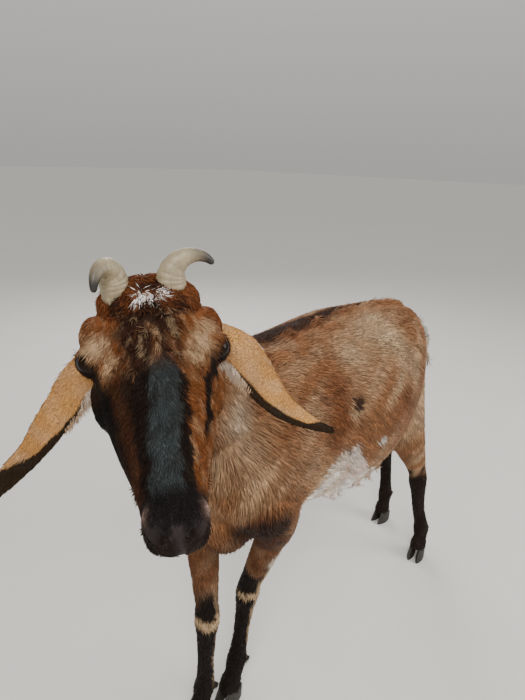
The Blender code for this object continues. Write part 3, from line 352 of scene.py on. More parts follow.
def face_colours(points, hues):
    """Face: painted sheen in grey between black edges down the nose, orange stripe, black cheek stripe, her
    right side darkened by painted shade.
    """
    p = local(points)
    x, y, z = p.T
    x = x + (noise(p, 0.012, 21) * 0.0010 + noise(p, 0.030, 22) * 0.0010)
    hairs = noise(p * (1, 0.35, 1), 0.006, 20)
    layers = [("red", 0.12 + 0.25 * noise(p, 0.022, 23)), ("red", 0.55 * ramp(y, 0.005, 0.03)),
              ("brow", 0.22 * ramp(noise(p * (1, 0.3, 1), 0.008, 24), 0.1, 1.0)),
              ("body", 0.65 * ramp(z, -0.035, -0.065))]
    layers += [("brow", share * ramp(spot(p, centre, reach) + 0.08 * hairs, 0.02, 0.80))
               for share, reach, *centre in BROWS]
    layers.append(("orange", 0.7 * spot(p, (0.040, 0.036, 0.034), 0.014)))
    # forehead: dark mixed tufts
    patch = ramp(np.abs(x + 0.004), 0.036, 0.020) * ramp(y, -0.050, -0.025) * ramp(z, 0.010, 0.03)
    mottled = ramp(noise(p * (1, 0.5, 1), 0.012, 25), -0.75, 0.15)
    layers += [("dorsal", patch * (0.50 + 0.45 * mottled)),
               ("brow", 0.30 * patch * ramp(noise(p * (1, 0.3, 1), 0.007, 26), 0.2, 1.0))]
    # nose: black, with painted sheen down it in grey, and painted highlights in that grey
    top = ramp(z, -0.010, 0.004) * ramp(y, -0.022, -0.042)
    sheen_band = stripe(x, y, SHEEN_BAND, 0.0015, 0.0020) * top * ramp(y, -0.156, -0.146)
    layers += [("black", 0.95 * (stripe(x, y, NOSE, 0.0015, 0.0015) * top)),
               ("sheen_band", sheen_band * (0.72 + 0.25 * noise(p * (1, 0.4, 1), 0.006, 27)))]
    # black stripe from the left eye down the cheek
    cheek = stripe(x, y, CHEEK, 0.0012, 0.0012)
    cheek *= ramp(y, -0.100, -0.090) * ramp(y, -0.002, -0.014) * ramp(z, -0.020, -0.006)
    # her right side: black markings and painted shade, her orange stripe there painted dark brown as if in
    # shadow, the rest of the side and the temple black
    side = ramp(x, -0.018, -0.022) * ramp(y, -0.022, -0.044) * ramp(z, -0.050, -0.030)
    brown = side * ramp(np.abs(x - across(y, SHADED_RIGHT_STRIPE)), 0.008, 0.003)
    temple = ramp(x, -0.036, -0.046) * ramp(y, 0.004, -0.010) * ramp(z, 0.021, 0.013)
    temple *= ramp(z, -0.055, -0.035)
    # the right side's black and dark brown are partly painted shade
    layers += [("black", 0.95 * cheek), ("black", 0.90 * side), ("red", 0.16 * brown),
               ("black", 0.88 * temple)]
    # muzzle, dark, with a paler edge round nostrils and lips
    snout = ramp(y, -0.134, -0.153)
    rim = spot(np.abs(p) * (1, 1, 0) + p * (0, 0, 1), (0.0180, 0.173, 0.002), (0.008, 0.012, 0.014))
    leather = np.clip(rim, 0, 1) + ramp(np.abs(x), 0.008, 0.004) * ramp(y, -0.168, -0.178)
    lip = ramp(np.abs(z + 0.030), 0.010, 0.004) * ramp(y, -0.120, -0.140)
    layers += [("black", 0.92 * snout), ("nose", 0.20 * snout + 0.60 * np.clip(leather, 0, 1)),
               ("pink", 0.50 * spot(p, (0.024, -0.160, 0.006), (0.006, 0.010, 0.010))),
               ("pink", 0.30 * spot(p, (-0.023, -0.160, 0.006), (0.006, 0.010, 0.010))),
               ("nose", 0.6 * lip)]
    # round the eyes
    for side in (1, -1):
        eye = EYE_AT * (side, 1, 1)
        rim = spot(p, eye + (side * 0.008, -0.007, 0.003), 0.0215)
        corner = spot(p, eye + (-side * 0.006, -0.024, -0.004), (0.010, 0.014, 0.010))
        layers += [("black", 0.95 * ramp(rim, 0.34, 0.55)), ("black", 0.8 * corner)]
    # poll: white patch and a black tuft before it
    layers.append(("red", 0.8 * ramp(y, 0.022, 0.034) * ramp(z, 0.03, 0.04)))
    layers += [("dorsal", 0.9 * ramp(spot(p, *dark) * (1 + 0.4 * hairs), 0.10, 0.5)) for dark in POLL_DARK]
    poll = spot(p, (-0.0005, 0.0350, 0.058), (0.0150, 0.0070, 0.030)) * (1 + 0.35 * noise(p, 0.009, 28))
    return painted(hues, "orange", layers + [("white", 0.95 * ramp(poll, 0.16, 0.30))])


def flesh_colours(points, hues):
    """Face colours ahead of the nape, body colours behind it, with a soft change."""
    share = ramp(ahead_of_nape(points) + 0.004 * noise(points, 0.02, 29), *NAPE_BLEND)[:, None]
    return body_colours(points, hues) * (1 - share) + face_colours(points, hues) * share


# Mesh tools


def surface(name, points, faces, look=None):
    """Object from points and one array of faces, or a list of arrays of three- and four-sided
    ones, with a material."""
    faces = [faces] if isinstance(faces, np.ndarray) else faces
    mesh = bpy.data.meshes.new(name)
    mesh.vertices.add(len(points))
    mesh.vertices.foreach_set("co", np.ascontiguousarray(points, np.float32).ravel())
    corners = np.concatenate([f.ravel() for f in faces]).astype(np.int32)
    sides = np.concatenate([np.full(len(f), f.shape[1]) for f in faces])
    starts = np.concatenate(([0], np.cumsum(sides)[:-1])).astype(np.int32)
    mesh.loops.add(len(corners))
    mesh.loops.foreach_set("vertex_index", corners)
    mesh.polygons.add(len(sides))
    mesh.polygons.foreach_set("loop_start", starts)
    mesh.update(calc_edges=True)
    mesh.shade_smooth()
    if look:
        mesh.materials.append(bpy.data.materials[look])
    return linked(name, mesh)


def linked(name, data):
    thing = bpy.data.objects.new(name, data)
    bpy.context.scene.collection.objects.link(thing)
    return thing


def grid_faces(rows, columns, closed=True):
    """Four-sided faces of a grid of rows by columns, its columns joined round where closed."""
    j = np.arange(columns if closed else columns - 1)
    i = np.arange(rows - 1)[:, None]
    k = (j + 1) % columns
    return np.stack((i * columns + j, i * columns + k, (i + 1) * columns + k, (i + 1) * columns + j),
                    axis=-1).reshape(-1, 4)


def capped(grid, flip=False):
    """Tube from a grid of rings, with a point at the middle of its first and last ring: points
    and faces, which look the other way where flipped."""
    rows, columns = grid.shape[:2]
    points = np.concatenate((grid.reshape(-1, 3), grid[0].mean(axis=0)[None], grid[-1].mean(axis=0)[None]))
    j = np.arange(columns)
    k = (j + 1) % columns
    first, last = rows * columns, rows * columns + 1
    start = np.stack((np.full(columns, first), k, j), axis=-1)
    end = np.stack((np.full(columns, last), (rows - 1) * columns + j, (rows - 1) * columns + k), axis=-1)
    faces = [grid_faces(rows, columns), start, end]
    return points, [f[:, ::-1] for f in faces] if flip else faces


def circle(columns):
    """Even angles of a whole turn."""
    return np.linspace(0, 2 * math.pi, columns, endpoint=False)


def read(items, field, width=3, kind=np.float32):
    """A field of all items of a mesh, as rows."""
    rows = np.empty(len(items) * width, kind)
    items.foreach_get(field, rows)
    return rows.reshape(-1, width)


def points_of(thing):
    return read(thing.data.vertices, "co").astype(float)


def normals_of(thing):
    return read(thing.data.vertex_normals, "vector").astype(float)


def triangles_of(thing):
    thing.data.calc_loop_triangles()
    return read(thing.data.loop_triangles, "vertices", 3, np.int32)


def set_points(thing, points):
    thing.data.vertices.foreach_set("co", np.ascontiguousarray(points, np.float32).ravel())
    thing.data.update()


def paint(thing, colours):
    """Colour attribute on the points, one row of three for each."""
    attribute = thing.data.color_attributes.new("coat", "FLOAT_COLOR", "POINT")
    rows = np.concatenate((np.clip(colours, 0, 1), np.ones((len(colours), 1))), axis=1)
    attribute.data.foreach_set("color", rows.astype(np.float32).ravel())


def unwrapped(thing, name, uv):
    """UV map from one row for each point."""
    corners = read(thing.data.loops, "vertex_index", 1, np.int32)[:, 0]
    layer = thing.data.uv_layers.new(name=name)
    layer.uv.foreach_set("vector", uv[corners].astype(np.float32).ravel())


def modified(thing, kind, **settings):
    """Puts the result of one modifier into a thing's mesh."""
    modifier = thing.modifiers.new(kind, kind)
    for key, value in settings.items():
        setattr(modifier, key, value)
    graph = bpy.context.evaluated_depsgraph_get()
    mesh = bpy.data.meshes.new_from_object(thing.evaluated_get(graph))
    old = thing.data
    thing.modifiers.clear()
    thing.data = mesh
    bpy.data.meshes.remove(old)
    return thing


def copied(names, label, voxel):
    """One object from copies of CAD nodes, their loose triangles merged, remade of voxels."""
    shape = bmesh.new()
    for name in names:
        shape.from_mesh(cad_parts[name].data)
    bmesh.ops.remove_doubles(shape, verts=shape.verts, dist=1e-5)
    mesh = bpy.data.meshes.new(label)
    shape.to_mesh(mesh)
    shape.free()
    mesh.materials.clear()
    return modified(linked(label, mesh), "REMESH", mode="VOXEL", voxel_size=voxel)


def neighbours(thing):
    """Function that gives each point of a thing the mean row of its neighbours."""
    a, b = read(thing.data.edges, "vertices", 2, np.int32).T
    size = len(thing.data.vertices)
    many = np.maximum(np.bincount(np.concatenate((a, b)), minlength=size), 1)[:, None]

    def mean(rows):
        sums = [np.bincount(a, rows[b, k], size) + np.bincount(b, rows[a, k], size) for k in range(3)]
        return np.stack(sums, axis=1) / many

    return mean


def relaxed(thing, rounds, weight):
    """Each round moves a point half way to the mean of its neighbours and then a little more
    than that back, times its weight, so that lumps go and the form keeps its size."""
    points, mean = points_of(thing), neighbours(thing)
    share = weight(points)[:, None]
    for _ in range(rounds):
        for step in (0.50, -0.52):
            points += step * share * (mean(points) - points)
    set_points(thing, points)


def evened(thing, rows, rounds):
    """Each round gives a point the mean of its own row and its neighbours' mean row, at unit
    length, so that small bumps of the skin don't turn a long tuft."""
    mean = neighbours(thing)
    for _ in range(rounds):
        rows = unit(rows + mean(rows))
    return rows


def sunk(thing, depth):
    """Moves each point inwards by its depth."""
    set_points(thing, points_of(thing) - normals_of(thing) * depth[:, None])


def sliced(thing, place, direction):
    """Keeps what lies ahead of a plane and closes the cut."""
    shape = bmesh.new()
    shape.from_mesh(thing.data)
    everything = shape.verts[:] + shape.edges[:] + shape.faces[:]
    made = bmesh.ops.bisect_plane(shape, geom=everything, plane_co=place, plane_no=direction,
                                  clear_inner=True)
    rim = [e for e in made["geom_cut"] if isinstance(e, bmesh.types.BMEdge)]
    bmesh.ops.holes_fill(shape, edges=rim, sides=0)
    bmesh.ops.triangulate(shape, faces=[f for f in shape.faces if len(f.verts) > 4])
    shape.to_mesh(thing.data)
    shape.free()
    return thing


# Skin

BODY_VOXEL, HEAD_VOXEL = 0.0042, 0.0016
BODY_KEPT, HEAD_KEPT = 0.55, 0.60       # shares of the faces that the thinning keeps
LEAST_POINTS = 10000                    # fewer mean that the halves of the skin didn't join
BODY_ROUNDS, HEAD_ROUNDS, LOCK_ROUNDS = 14, 16, 40      # of relaxing, the last where locks stand


def body_skin(sizes):
    """Trunk, neck, legs, tail and udder in one, smoother where locks stand on the solids."""
    thing = copied(FLESH, "BodySkin", BODY_VOXEL)

    def softness(points):
        _, y, z = own(points).T
        tail = ramp(y, 0.325, 0.345) * ramp(z, 0.5, 0.6)
        return 0.35 + 0.65 * ramp(z, 0.30, 0.42) * (1 - 0.5 * tail)

    def locks(points):
        _, y, z = own(points).T
        crest = ramp(z, 0.70, 0.73) * ramp(y, 0.28, 0.20)
        fringe = ramp(z, 0.54, 0.50) * ramp(z, 0.40, 0.42) * ramp(y, -0.20, -0.12) * ramp(y, 0.20, 0.12)
        return np.clip(crest + fringe, 0, 1)

    relaxed(thing, BODY_ROUNDS, softness)
    relaxed(thing, LOCK_ROUNDS, locks)
    p = own(points_of(thing))
    bare = ramp(spot(p, *UDDER), 0.25, 0.5)
    depth = sizes.leg_coat + (sizes.trunk_coat - sizes.leg_coat) * ramp(p[:, 2], 0.34, 0.48)
    sunk(thing, depth * (1 - bare))
    return sliced(thing, NAPE_AT + SHIFT + NAPE_AHEAD * NAPE_OVERLAP, -NAPE_AHEAD)


def eye_spots(p, reach):
    """Bells over the openings of the left and the right eye."""
    return [spot(p, EYE_AT * (side, 1, 1) + (side * 0.006, -0.005, 0.003), reach) for side in (1, -1)]


def head_skin(sizes):
    """Head at a fine voxel, the eyelids, nostrils and mouth kept sharp."""
    thing = copied(["head", "neck"], "HeadSkin", HEAD_VOXEL)

    def softness(points):
        p = local(points)
        return 1 - 0.85 * np.clip(sum(eye_spots(p, 0.020)) + ramp(p[:, 1], -0.125, -0.150), 0, 1)

    relaxed(thing, HEAD_ROUNDS, softness)
    relaxed(thing, LOCK_ROUNDS, lambda points: ramp(local(points)[:, 1], 0.010, 0.030))
    p = local(points_of(thing))
    thin = 1 - 0.9 * ramp(p[:, 1], -0.125, -0.150)
    for eye in eye_spots(p, 0.024):
        thin *= 1 - eye
    back = ramp(p[:, 1], 0.05, 0.09)
    sunk(thing, (sizes.face_coat + (sizes.trunk_coat - sizes.face_coat) * back) * thin)
    return sliced(thing, NAPE_AT + SHIFT - NAPE_AHEAD * NAPE_OVERLAP, NAPE_AHEAD)


# Ears: stations of x, y, z, width and curl in degrees from root to tip, in the head's frame

EAR_STATIONS = {
    1: ((0.044, 0.042, -0.004, 0.034, 190), (0.066, 0.034, -0.014, 0.036, 170),
        (0.090, 0.028, -0.029, 0.041, 140), (0.105, 0.021, -0.049, 0.044, 118),
        (0.121, 0.008, -0.073, 0.041, 100), (0.139, -0.005, -0.096, 0.032, 90),
        (0.161, -0.014, -0.115, 0.023, 80), (0.183, -0.020, -0.129, 0.014, 70),
        (0.204, -0.024, -0.139, 0.007, 50)),
    -1: ((-0.044, 0.044, -0.020, 0.034, 190), (-0.066, 0.040, -0.036, 0.036, 170),
         (-0.085, 0.028, -0.049, 0.036, 140), (-0.099, 0.011, -0.064, 0.035, 118),
         (-0.117, -0.006, -0.079, 0.033, 100), (-0.136, -0.022, -0.093, 0.027, 90),
         (-0.158, -0.035, -0.105, 0.023, 80), (-0.176, -0.048, -0.116, 0.014, 70),
         (-0.192, -0.058, -0.124, 0.007, 50)),
}
EAR_BLACK = {       # share of the width that is black, from root to tip
    1: (0.03, 0.11, 0.20, 0.29, 0.48, 1.00, 1.4), -1: (0.02, 0.06, 0.18, 0.42, 1.00, 1.40, 1.4),
}
EAR_WALL = 0.0036
EAR_ROWS, EAR_COLUMNS = 56, 44


def curved(rows, many):
    """Rows carried through by a cubic that passes each of them, at even steps."""
    rows = np.array(rows, float)
    ends = np.concatenate((2 * rows[:1] - rows[1:2], rows, 2 * rows[-1:] - rows[-2:-1]))
    t = np.linspace(0, len(rows) - 1, many)
    i = np.minimum(t.astype(int), len(rows) - 2)
    f = (t - i)[:, None]
    a, b, c, d = (ends[i + k] for k in range(4))
    return b + 0.5 * f * (c - a + f * (2 * a - 5 * b + 4 * c - d + f * (3 * (b - c) + d - a)))


def ear_grid(side):
    """Gutter of two sheets that meet in a round rim. Along the path t runs from root to tip;
    round it, a runs over the outer sheet from rim to rim and back over the inner one."""
    path = curved(EAR_STATIONS[side], EAR_ROWS)
    t = np.linspace(0, 1, EAR_ROWS)[:, None]
    centre = path[:, :3]
    ahead = unit(np.gradient(centre, axis=0))
    top = tangents(np.tile(np.array((0.30 * side, -0.80, 0.52)), (EAR_ROWS, 1)), ahead)
    over = np.cross(ahead, top)
    curl = np.radians(path[:, 4:5])
    radius = path[:, 3:4] / (2 * np.sin(np.minimum(curl, math.pi) / 2))
    way = np.linspace(0, 2, EAR_COLUMNS, endpoint=False)[None, :]
    a = np.where(way <= 1, way, 2 - way)
    outer = np.where(way <= 1, 1.0, -1.0)
    rim = np.abs(2 * a - 1)
    wall = EAR_WALL * (1 - 0.5 * t) * np.sqrt(np.clip(1 - rim ** 3, 0, 1))
    angle = curl * (a - 0.5)
    reach = radius - wall * (outer < 0) + 0.0016 * np.sin(9 * t + 4 * a) * rim ** 2
    ray = (top[:, None] * np.cos(angle)[..., None] + over[:, None] * np.sin(angle)[..., None])
    middle = centre - top * radius * np.cos(curl / 2)
    fields = np.stack([(field + 0 * (t + a)).ravel() for field in (t, a, outer)], axis=1)
    return middle[:, None] + ray * reach[..., None], fields


def ear_colours(points, t, a, outer, side, hues):
    """Tan outside, black along the lower rim and tip, pinkish white inside near the root."""
    grain = noise(points, 0.02, 31)
    inner = outer < 0
    lower = a if side < 0 else 1 - a
    width = np.interp(t, (0.0, 0.25, 0.45, 0.65, 0.80, 0.90, 1.0), EAR_BLACK[side]) * (1 + 0.10 * grain)
    return painted(hues, "ear", [
        ("orange", 0.14 + 0.14 * noise(points, 0.05, 32)), ("white", 0.03 + 0.06 * grain),
        ("pink", 0.55 * inner * ramp(t, 0.75, 0.3)), ("white", 0.55 * inner * ramp(t, 0.55, 0.15)),
        ("black", 0.95 * ramp(lower, width + 0.03, width - 0.03) * ramp(t, 0.16, 0.30)),
        ("black", 0.5 * ramp(1 - lower, 0.07, 0.02) * ramp(t, 0.35, 0.6))])


# Tufts: seven points each, three at the root, three half way and the tip

TUFT_FACES = np.array(((0, 2, 1), (0, 1, 4), (0, 4, 3), (1, 2, 5), (1, 5, 4), (2, 0, 3), (2, 3, 5),
                       (3, 4, 6), (4, 5, 6), (5, 3, 6)))
# painted light along each tuft: painted shade at the root ring, painted highlight on its outward ridge and
# at the tip
TUFT_PAINTED_LIGHT = np.array((0.80, 0.84, 0.80, 0.98, 1.04, 0.98, 1.14))
TUFT_PATCH = 0.0015 * np.array(((0, 0), (1, 0), (2, 0), (0, 1), (1, 1), (2, 1), (1, 2)))
BENDS = (-4, 40)                # least and most turn, in radians a metre
EVEN_ROUNDS = 14                # of evening the directions out of the skin


def scattered(points, faces, many, dice, weight=None):
    """Seeded places on triangles, as many as asked, by area times weight: the triangle of each
    and its three shares of the corners."""
    a, b, c = (points[faces[:, k]] for k in range(3))
    area = np.linalg.norm(np.cross(b - a, c - a), axis=1)
    if weight is not None:
        area = area * weight((a + b + c) / 3)
    total = np.cumsum(area)
    pick = np.searchsorted(total, (np.arange(many) + dice.random(many)) / many * total[-1])
    pick = np.minimum(pick, len(faces) - 1)
    u, v = dice.random(many), dice.random(many)
    fold = u + v > 1
    u, v = np.where(fold, 1 - u, u), np.where(fold, 1 - v, v)
    return faces[pick], np.stack((1 - u - v, u, v), axis=1)


def carried(rows, corners, shares):
    """Values of points carried to places on triangles."""
    return np.einsum("nk,nk...->n...", shares, rows[corners])


def dots(a, b):
    return np.sum(a * b, axis=1)


def tangents(lies, normals):
    """Lies turned into the skin: their part across the normal, at unit length."""
    return unit(lies - normals * dots(lies, normals)[:, None])


def bending(points, normals, corners, lies):
    """How much the skin turns along a lie, in radians a metre: the change of the normal across
    the triangle along the lie, taken along the lie, and held within its limits."""
    a, b, c = (points[corners[:, k]] for k in range(3))
    e, g = b - a, c - a
    ee, eg, gg, ef, gf = dots(e, e), dots(e, g), dots(g, g), dots(e, lies), dots(g, lies)
    size = np.maximum(ee * gg - eg * eg, 1e-16)
    du, dv = (gg * ef - eg * gf) / size, (ee * gf - eg * ef) / size
    na, nb, nc = (normals[corners[:, k]] for k in range(3))
    return np.clip(dots(du[:, None] * (nb - na) + dv[:, None] * (nc - na), lies), *BENDS)


def tufts(name, body_slot, flat, roots, normals, lies, lengths, widths, rises, colours,
          bends=0.0, curls=0.0):
    """Each tuft is a closed three-sided spike of 10 triangles. Its root ring sits a little
    under the skin, its middle ring lies on the skin at half length, and its tip stands out by
    its rise. Both drop by half the skin's bend times their way squared, so that a long tuft
    keeps to a round form, and a curl moves the middle sideways by its share of the length.
    Its patch on the flat unwrap is 0.003 across, root below and tip above."""
    many = len(roots)
    n = unit(normals)
    f = tangents(lies, n)
    c = np.cross(f, n)
    lengths, widths, rises, bends, curls = (
        np.broadcast_to(np.asarray(v, float), (many,))[:, None]
        for v in (lengths, widths, rises, bends, curls))
    rings = []
    for along, wide, height in ((0.0, 0.75, -0.30 * widths - 0.0002), (0.5, 1.0, 0.62 * rises)):
        way = lengths * along
        middle = roots + f * way + n * (height - bends * way ** 2 / 2) + c * curls * way
        half = widths * wide / 2
        rings += [middle - c * half, middle + n * half * 0.7, middle + c * half]
    rings.append(roots + f * lengths + n * (rises - bends * lengths ** 2 / 2))
    points = np.stack(rings, axis=1).reshape(-1, 3)
    faces = (TUFT_FACES[None] + 7 * np.arange(many)[:, None, None]).reshape(-1, 3)
    thing = surface(name, points, faces, "Goat hair")
    # each tuft's colour times its painted shade and painted highlight
    paint(thing, (colours[:, None] * TUFT_PAINTED_LIGHT[None, :, None]).reshape(-1, 3))
    unwrapped(thing, "OFBake", (np.clip(flat, 0.001, 0.995)[:, None] + TUFT_PATCH[None]).reshape(-1, 2))
    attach(thing, "root")


def round_axis(points, centre, order, span):
    """Unwrap round an axis: the angle between the first two axes and the place along the third."""
    a, b, along = (points - centre)[:, order].T
    place = (along - span[0]) / (span[1] - span[0])
    return np.stack((np.arctan2(b, a) / (2 * math.pi) + 0.5, np.clip(place, 0, 1)), axis=1)


def coat_pieces(name, body_slot, pieces, q, middle, *rows):
    """Tufts in pieces one behind the other along q's second axis, each unwrapped round it."""
    for number, part in enumerate(np.array_split(np.argsort(q[:, 1]), pieces)):
        x, y, z = q[part].T
        centre = (x.mean(), 0, z.mean()) if middle is None else middle
        flat = round_axis(q[part], np.array(centre), (0, 2, 1), (y.min(), y.max()))
        tufts(f"{name}_{number + 1}", body_slot, flat, *(row[part] for row in rows))


def turned(lie, *changes):
    """A lie moved towards directions, each by its share for each point, in order."""
    for share, direction in changes:
        lie = lie * (1 - share[:, None]) + np.array(direction) * share[:, None]
    return lie


def body_lie(points, normals):
    """Back along the trunk and down its sides, down chest and legs, along the neck."""
    p = own(points)
    _, y, z = p.T
    side = np.abs(normals[:, 0])
    neck = ramp(y, -0.20, -0.33) * ramp(z, 0.50, 0.60)
    chest = ramp(y, -0.26, -0.34) * ramp(z, 0.66, 0.58)
    thigh = ramp(y, 0.10, 0.22) * ramp(z, 0.66, 0.54)
    shank = ramp(z, 0.50, 0.42) * np.maximum(ramp(y, -0.16, -0.22), ramp(y, 0.16, 0.22))
    tail = ramp(y, 0.325, 0.345) * ramp(z, 0.5, 0.56)
    lie = np.stack((0.10 * np.sign(normals[:, 0]), 0.90 + 0 * y, -0.15 - 0.65 * side), axis=1)
    lie = turned(lie, (neck, (-0.12, 0.55, -0.85)), (chest, (0, 0.10, -1.0)), (thigh, (0, 0.35, -0.95)),
                 (shank, (0, 0.12, -1.0)), (tail, (0, 0.2, -1.0)))
    return unit(lie) + 0.22 * sway(p, 0.09, 40)


def face_lie(points):
    """From the whorl on the poll outwards, then down the face to the muzzle and over the cheeks."""
    p = local(points)
    x, y, z = p.T
    down = np.stack((0.55 * np.tanh(x / 0.012), -0.80 + 0 * x, -0.45 * ramp(np.abs(x), 0.015, 0.04)), axis=1)
    share = ramp(y, 0.010, -0.030)[:, None]
    lie = unit(p - np.array((-0.001, 0.064, 0.040))) * (1 - share) + down * share
    lie = turned(lie, (ramp(z, -0.030, -0.050), (0, 0.9, -0.4)))
    return (unit(lie) + 0.22 * sway(p, 0.025, 50)) @ HEAD.T


# Materials


def node(tree, kind, settings=None, **links):
    """Adds a node, sets its fields, and sets or links its inputs by their names or numbers."""
    made = tree.nodes.new("ShaderNode" + kind)
    for key, value in (settings or {}).items():
        setattr(made, key, value)
    for key, value in links.items():
        numbered = key[0] == "i" and key[1:].isdigit()
        socket = made.inputs[int(key[1:]) if numbered else key.replace("_", " ")]
        if isinstance(value, bpy.types.NodeSocket):
            tree.links.new(value, socket)
        else:
            socket.default_value = value
    return made


def material(name):
    """Node tree of a new, empty material."""
    made = bpy.data.materials.new(name)
    made.use_nodes = True
    made.node_tree.nodes.clear()
    return made.node_tree


def mottle(tree, scale, detail, place=None, stretch=None, turn=0.0):
    """Noise over the object's place, or over another one, which may be turned and stretched."""
    if place is None:
        place = node(tree, "TexCoord").outputs["Object"]
    if stretch:
        place = node(tree, "Mapping", Vector=place, Rotation=(turn, 0, 0), Scale=stretch).outputs[0]
    return node(tree, "TexNoise", Vector=place, Scale=scale, Detail=detail).outputs[0]


def calc(tree, operation, first, second=0.0):
    return node(tree, "Math", {"operation": operation}, i0=first, i1=second).outputs[0]


def spread(tree, value, *levels):
    """A value carried from its first two levels to the next two, or to 0 and 1, and held there."""
    ends = {f"i{number + 1}": level for number, level in enumerate(levels)}
    return node(tree, "MapRange", i0=value, **ends).outputs[0]


def blend(tree, share, *colours):
    """Mix of two colours, each a socket or three numbers."""
    first, second = (c if isinstance(c, bpy.types.NodeSocket) else (*c, 1) for c in colours)
    return node(tree, "Mix", {"data_type": "RGBA"}, i0=share, i6=first, i7=second).outputs[2]


def scaled(tree, colour, size):
    return node(tree, "VectorMath", {"operation": "SCALE"}, i0=colour, Scale=size).outputs[0]


def shaded(tree, colour, rough, bump=None, **more):
    """Shader and output. A bump is a height, its strength and its depth in metres."""
    if bump:
        height, strength, deep = bump
        more["Normal"] = node(tree, "Bump", Height=height, Strength=strength, Distance=deep).outputs[0]
    shader = node(tree, "BsdfPrincipled", Base_Color=colour, Roughness=rough, **more)
    node(tree, "OutputMaterial", Surface=shader.outputs[0])


def coat_colour(tree):
    return node(tree, "Attribute", {"attribute_name": "coat"}).outputs["Color"]


def hair_material():
    """Goat hair: keratin fibres, lit along their length. Each tuft has the colour of its place,
    with fine light and dark fibres across it and a soft gloss."""
    tree = material("Goat hair")
    shade = spread(tree, mottle(tree, 900.0, 2.0), 0.3, 0.7, 0.82, 1.15)
    shaded(tree, scaled(tree, coat_colour(tree), shade), 0.62, IOR=1.55, Specular_IOR_Level=0.10)


def skin_material():
    """Haired hide under the coat: the coat's own colours, with short flat hairs drawn as bump,
    2 mm apart and 12 mm long, which is as coarse as it needs to show."""
    tree = material("Short haired hide")
    hairs = mottle(tree, 1.0, 3.0, stretch=(500.0, 80.0, 500.0), turn=math.radians(-38))
    both = calc(tree, "ADD", hairs, mottle(tree, 600.0, 2.0))
    shade = spread(tree, both, 0.7, 1.3, 0.70, 1.10)
    shaded(tree, scaled(tree, coat_colour(tree), shade), 0.62, (both, 0.35, 0.0006), IOR=1.5,
           Specular_IOR_Level=0.12)


def eye_material(hues):
    """Wet eye: a dark brown iris with a wide flat pupil under a clear, mirror-smooth cornea.
    Its own unwrap is flat, in radii of the ball from the middle of the cornea."""
    tree = material("Wet goat eye")
    flat = node(tree, "UVMap", {"uv_map": "Eye"}).outputs[0]
    parts = node(tree, "SeparateXYZ", Vector=flat).outputs
    wide, tall = (calc(tree, "POWER", calc(tree, "ABSOLUTE", calc(tree, "DIVIDE", part, half)), 3.0)
                  for part, half in ((parts[0], 0.30), (parts[1], 0.11)))
    pupil = spread(tree, calc(tree, "ADD", wide, tall), 0.8, 1.3)
    away = node(tree, "VectorMath", {"operation": "LENGTH"}, i0=flat).outputs["Value"]
    iris = blend(tree, mottle(tree, 14.0, 3.0, flat), hues.iris, [min(1, 2.4 * c) for c in hues.iris])
    inner = blend(tree, pupil, (0.002, 0.002, 0.003), iris)
    full = blend(tree, spread(tree, away, 0.50, 0.62), inner, (0.012, 0.008, 0.007))
    shaded(tree, full, 0.06, IOR=1.376, Specular_IOR_Level=0.16)


def lid_material(hues):
    """Lid leather: bare, dark and slightly moist, so it takes a soft light along its rim."""
    tree = material("Lid leather")
    grain = mottle(tree, 1400.0, 2.0)
    shaded(tree, blend(tree, grain, hues.black, linear("#15100d")), 0.55, (grain, 0.3, 0.0004),
           Specular_IOR_Level=0.12)


def horn_material(hues):
    """Horn keratin, grown in rings: grey beige, darker in the grooves and towards the tip,
    dull with a faint polish. Its unwrap runs along the horn from 0 to 1."""
    tree = material("Ringed horn keratin")
    flat = node(tree, "UVMap", {"uv_map": "Along"}).outputs[0]
    along = node(tree, "SeparateXYZ", Vector=flat).outputs[1]
    both = calc(tree, "ADD", mottle(tree, 120.0, 4.0), mottle(tree, 1.0, 3.0, flat, (60.0, 5.0, 1.0)))
    base = blend(tree, spread(tree, along, 0.68, 0.92), hues.horn, hues.tip)
    shaded(tree, scaled(tree, base, spread(tree, both, 0.7, 1.3, 0.72, 1.15)), 0.48,
           (both, 0.35, 0.0005), IOR=1.55)


def hoof_material(hues):
    """Hoof horn, worn matt by the ground: dark, with growth lines and dusty scuffs."""
    tree = material("Worn hoof horn")
    worn = spread(tree, mottle(tree, 260.0, 4.0), 0.45, 0.75, 0.0, 0.22)
    growth = mottle(tree, 1.0, 3.0, stretch=(60.0, 60.0, 520.0))
    shaded(tree, blend(tree, worn, hues.hoof, linear("#7a6c5c")), 0.6, (growth, 0.5, 0.0008))


def floor_material(hues):
    """Smooth plaster floor, plain and pale."""
    tree = material("Pale plaster")
    cloud = mottle(tree, 6.0, 5.0)
    shaded(tree, blend(tree, cloud, [0.94 * c for c in hues.floor], hues.floor), 0.85)


# Operators


class GOAT_OT_materials(bpy.types.Operator):
    """Make the materials that several pieces share"""
    bl_idname = "goat.materials"
    bl_label = "Materials"

    def execute(self, context):
        hair_material()
        skin_material()
        for make in (lid_material, eye_material, horn_material, hoof_material, floor_material):
            make(context.scene.goat_colours)
        return {"FINISHED"}


class GOAT_OT_skin(bpy.types.Operator):
    """Grow one skin over body and head, inside the solids by the coat's depth"""
    bl_idname = "goat.skin"
    bl_label = "Skin"

    def execute(self, context):
        hues, sizes = context.scene.goat_colours, context.scene.goat_sizes
        body, head = body_skin(sizes), head_skin(sizes)
        modified(body, "DECIMATE", ratio=BODY_KEPT)
        modified(head, "DECIMATE", ratio=HEAD_KEPT)
        skin = modified(body, "BOOLEAN", operation="UNION", object=head, solver="MANIFOLD")
        bpy.data.objects.remove(head)
        skin.name = "skin"
        if len(skin.data.vertices) < LEAST_POINTS:
            raise RuntimeError("the skin's halves didn't join")
        skin.data.shade_smooth()
        paint(skin, flesh_colours(points_of(skin), hues))
        skin.data.materials.clear()
        skin.data.materials.append(bpy.data.materials["Short haired hide"])
        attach(skin, "root")
        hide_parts(*FLESH)
        return {"FINISHED"}


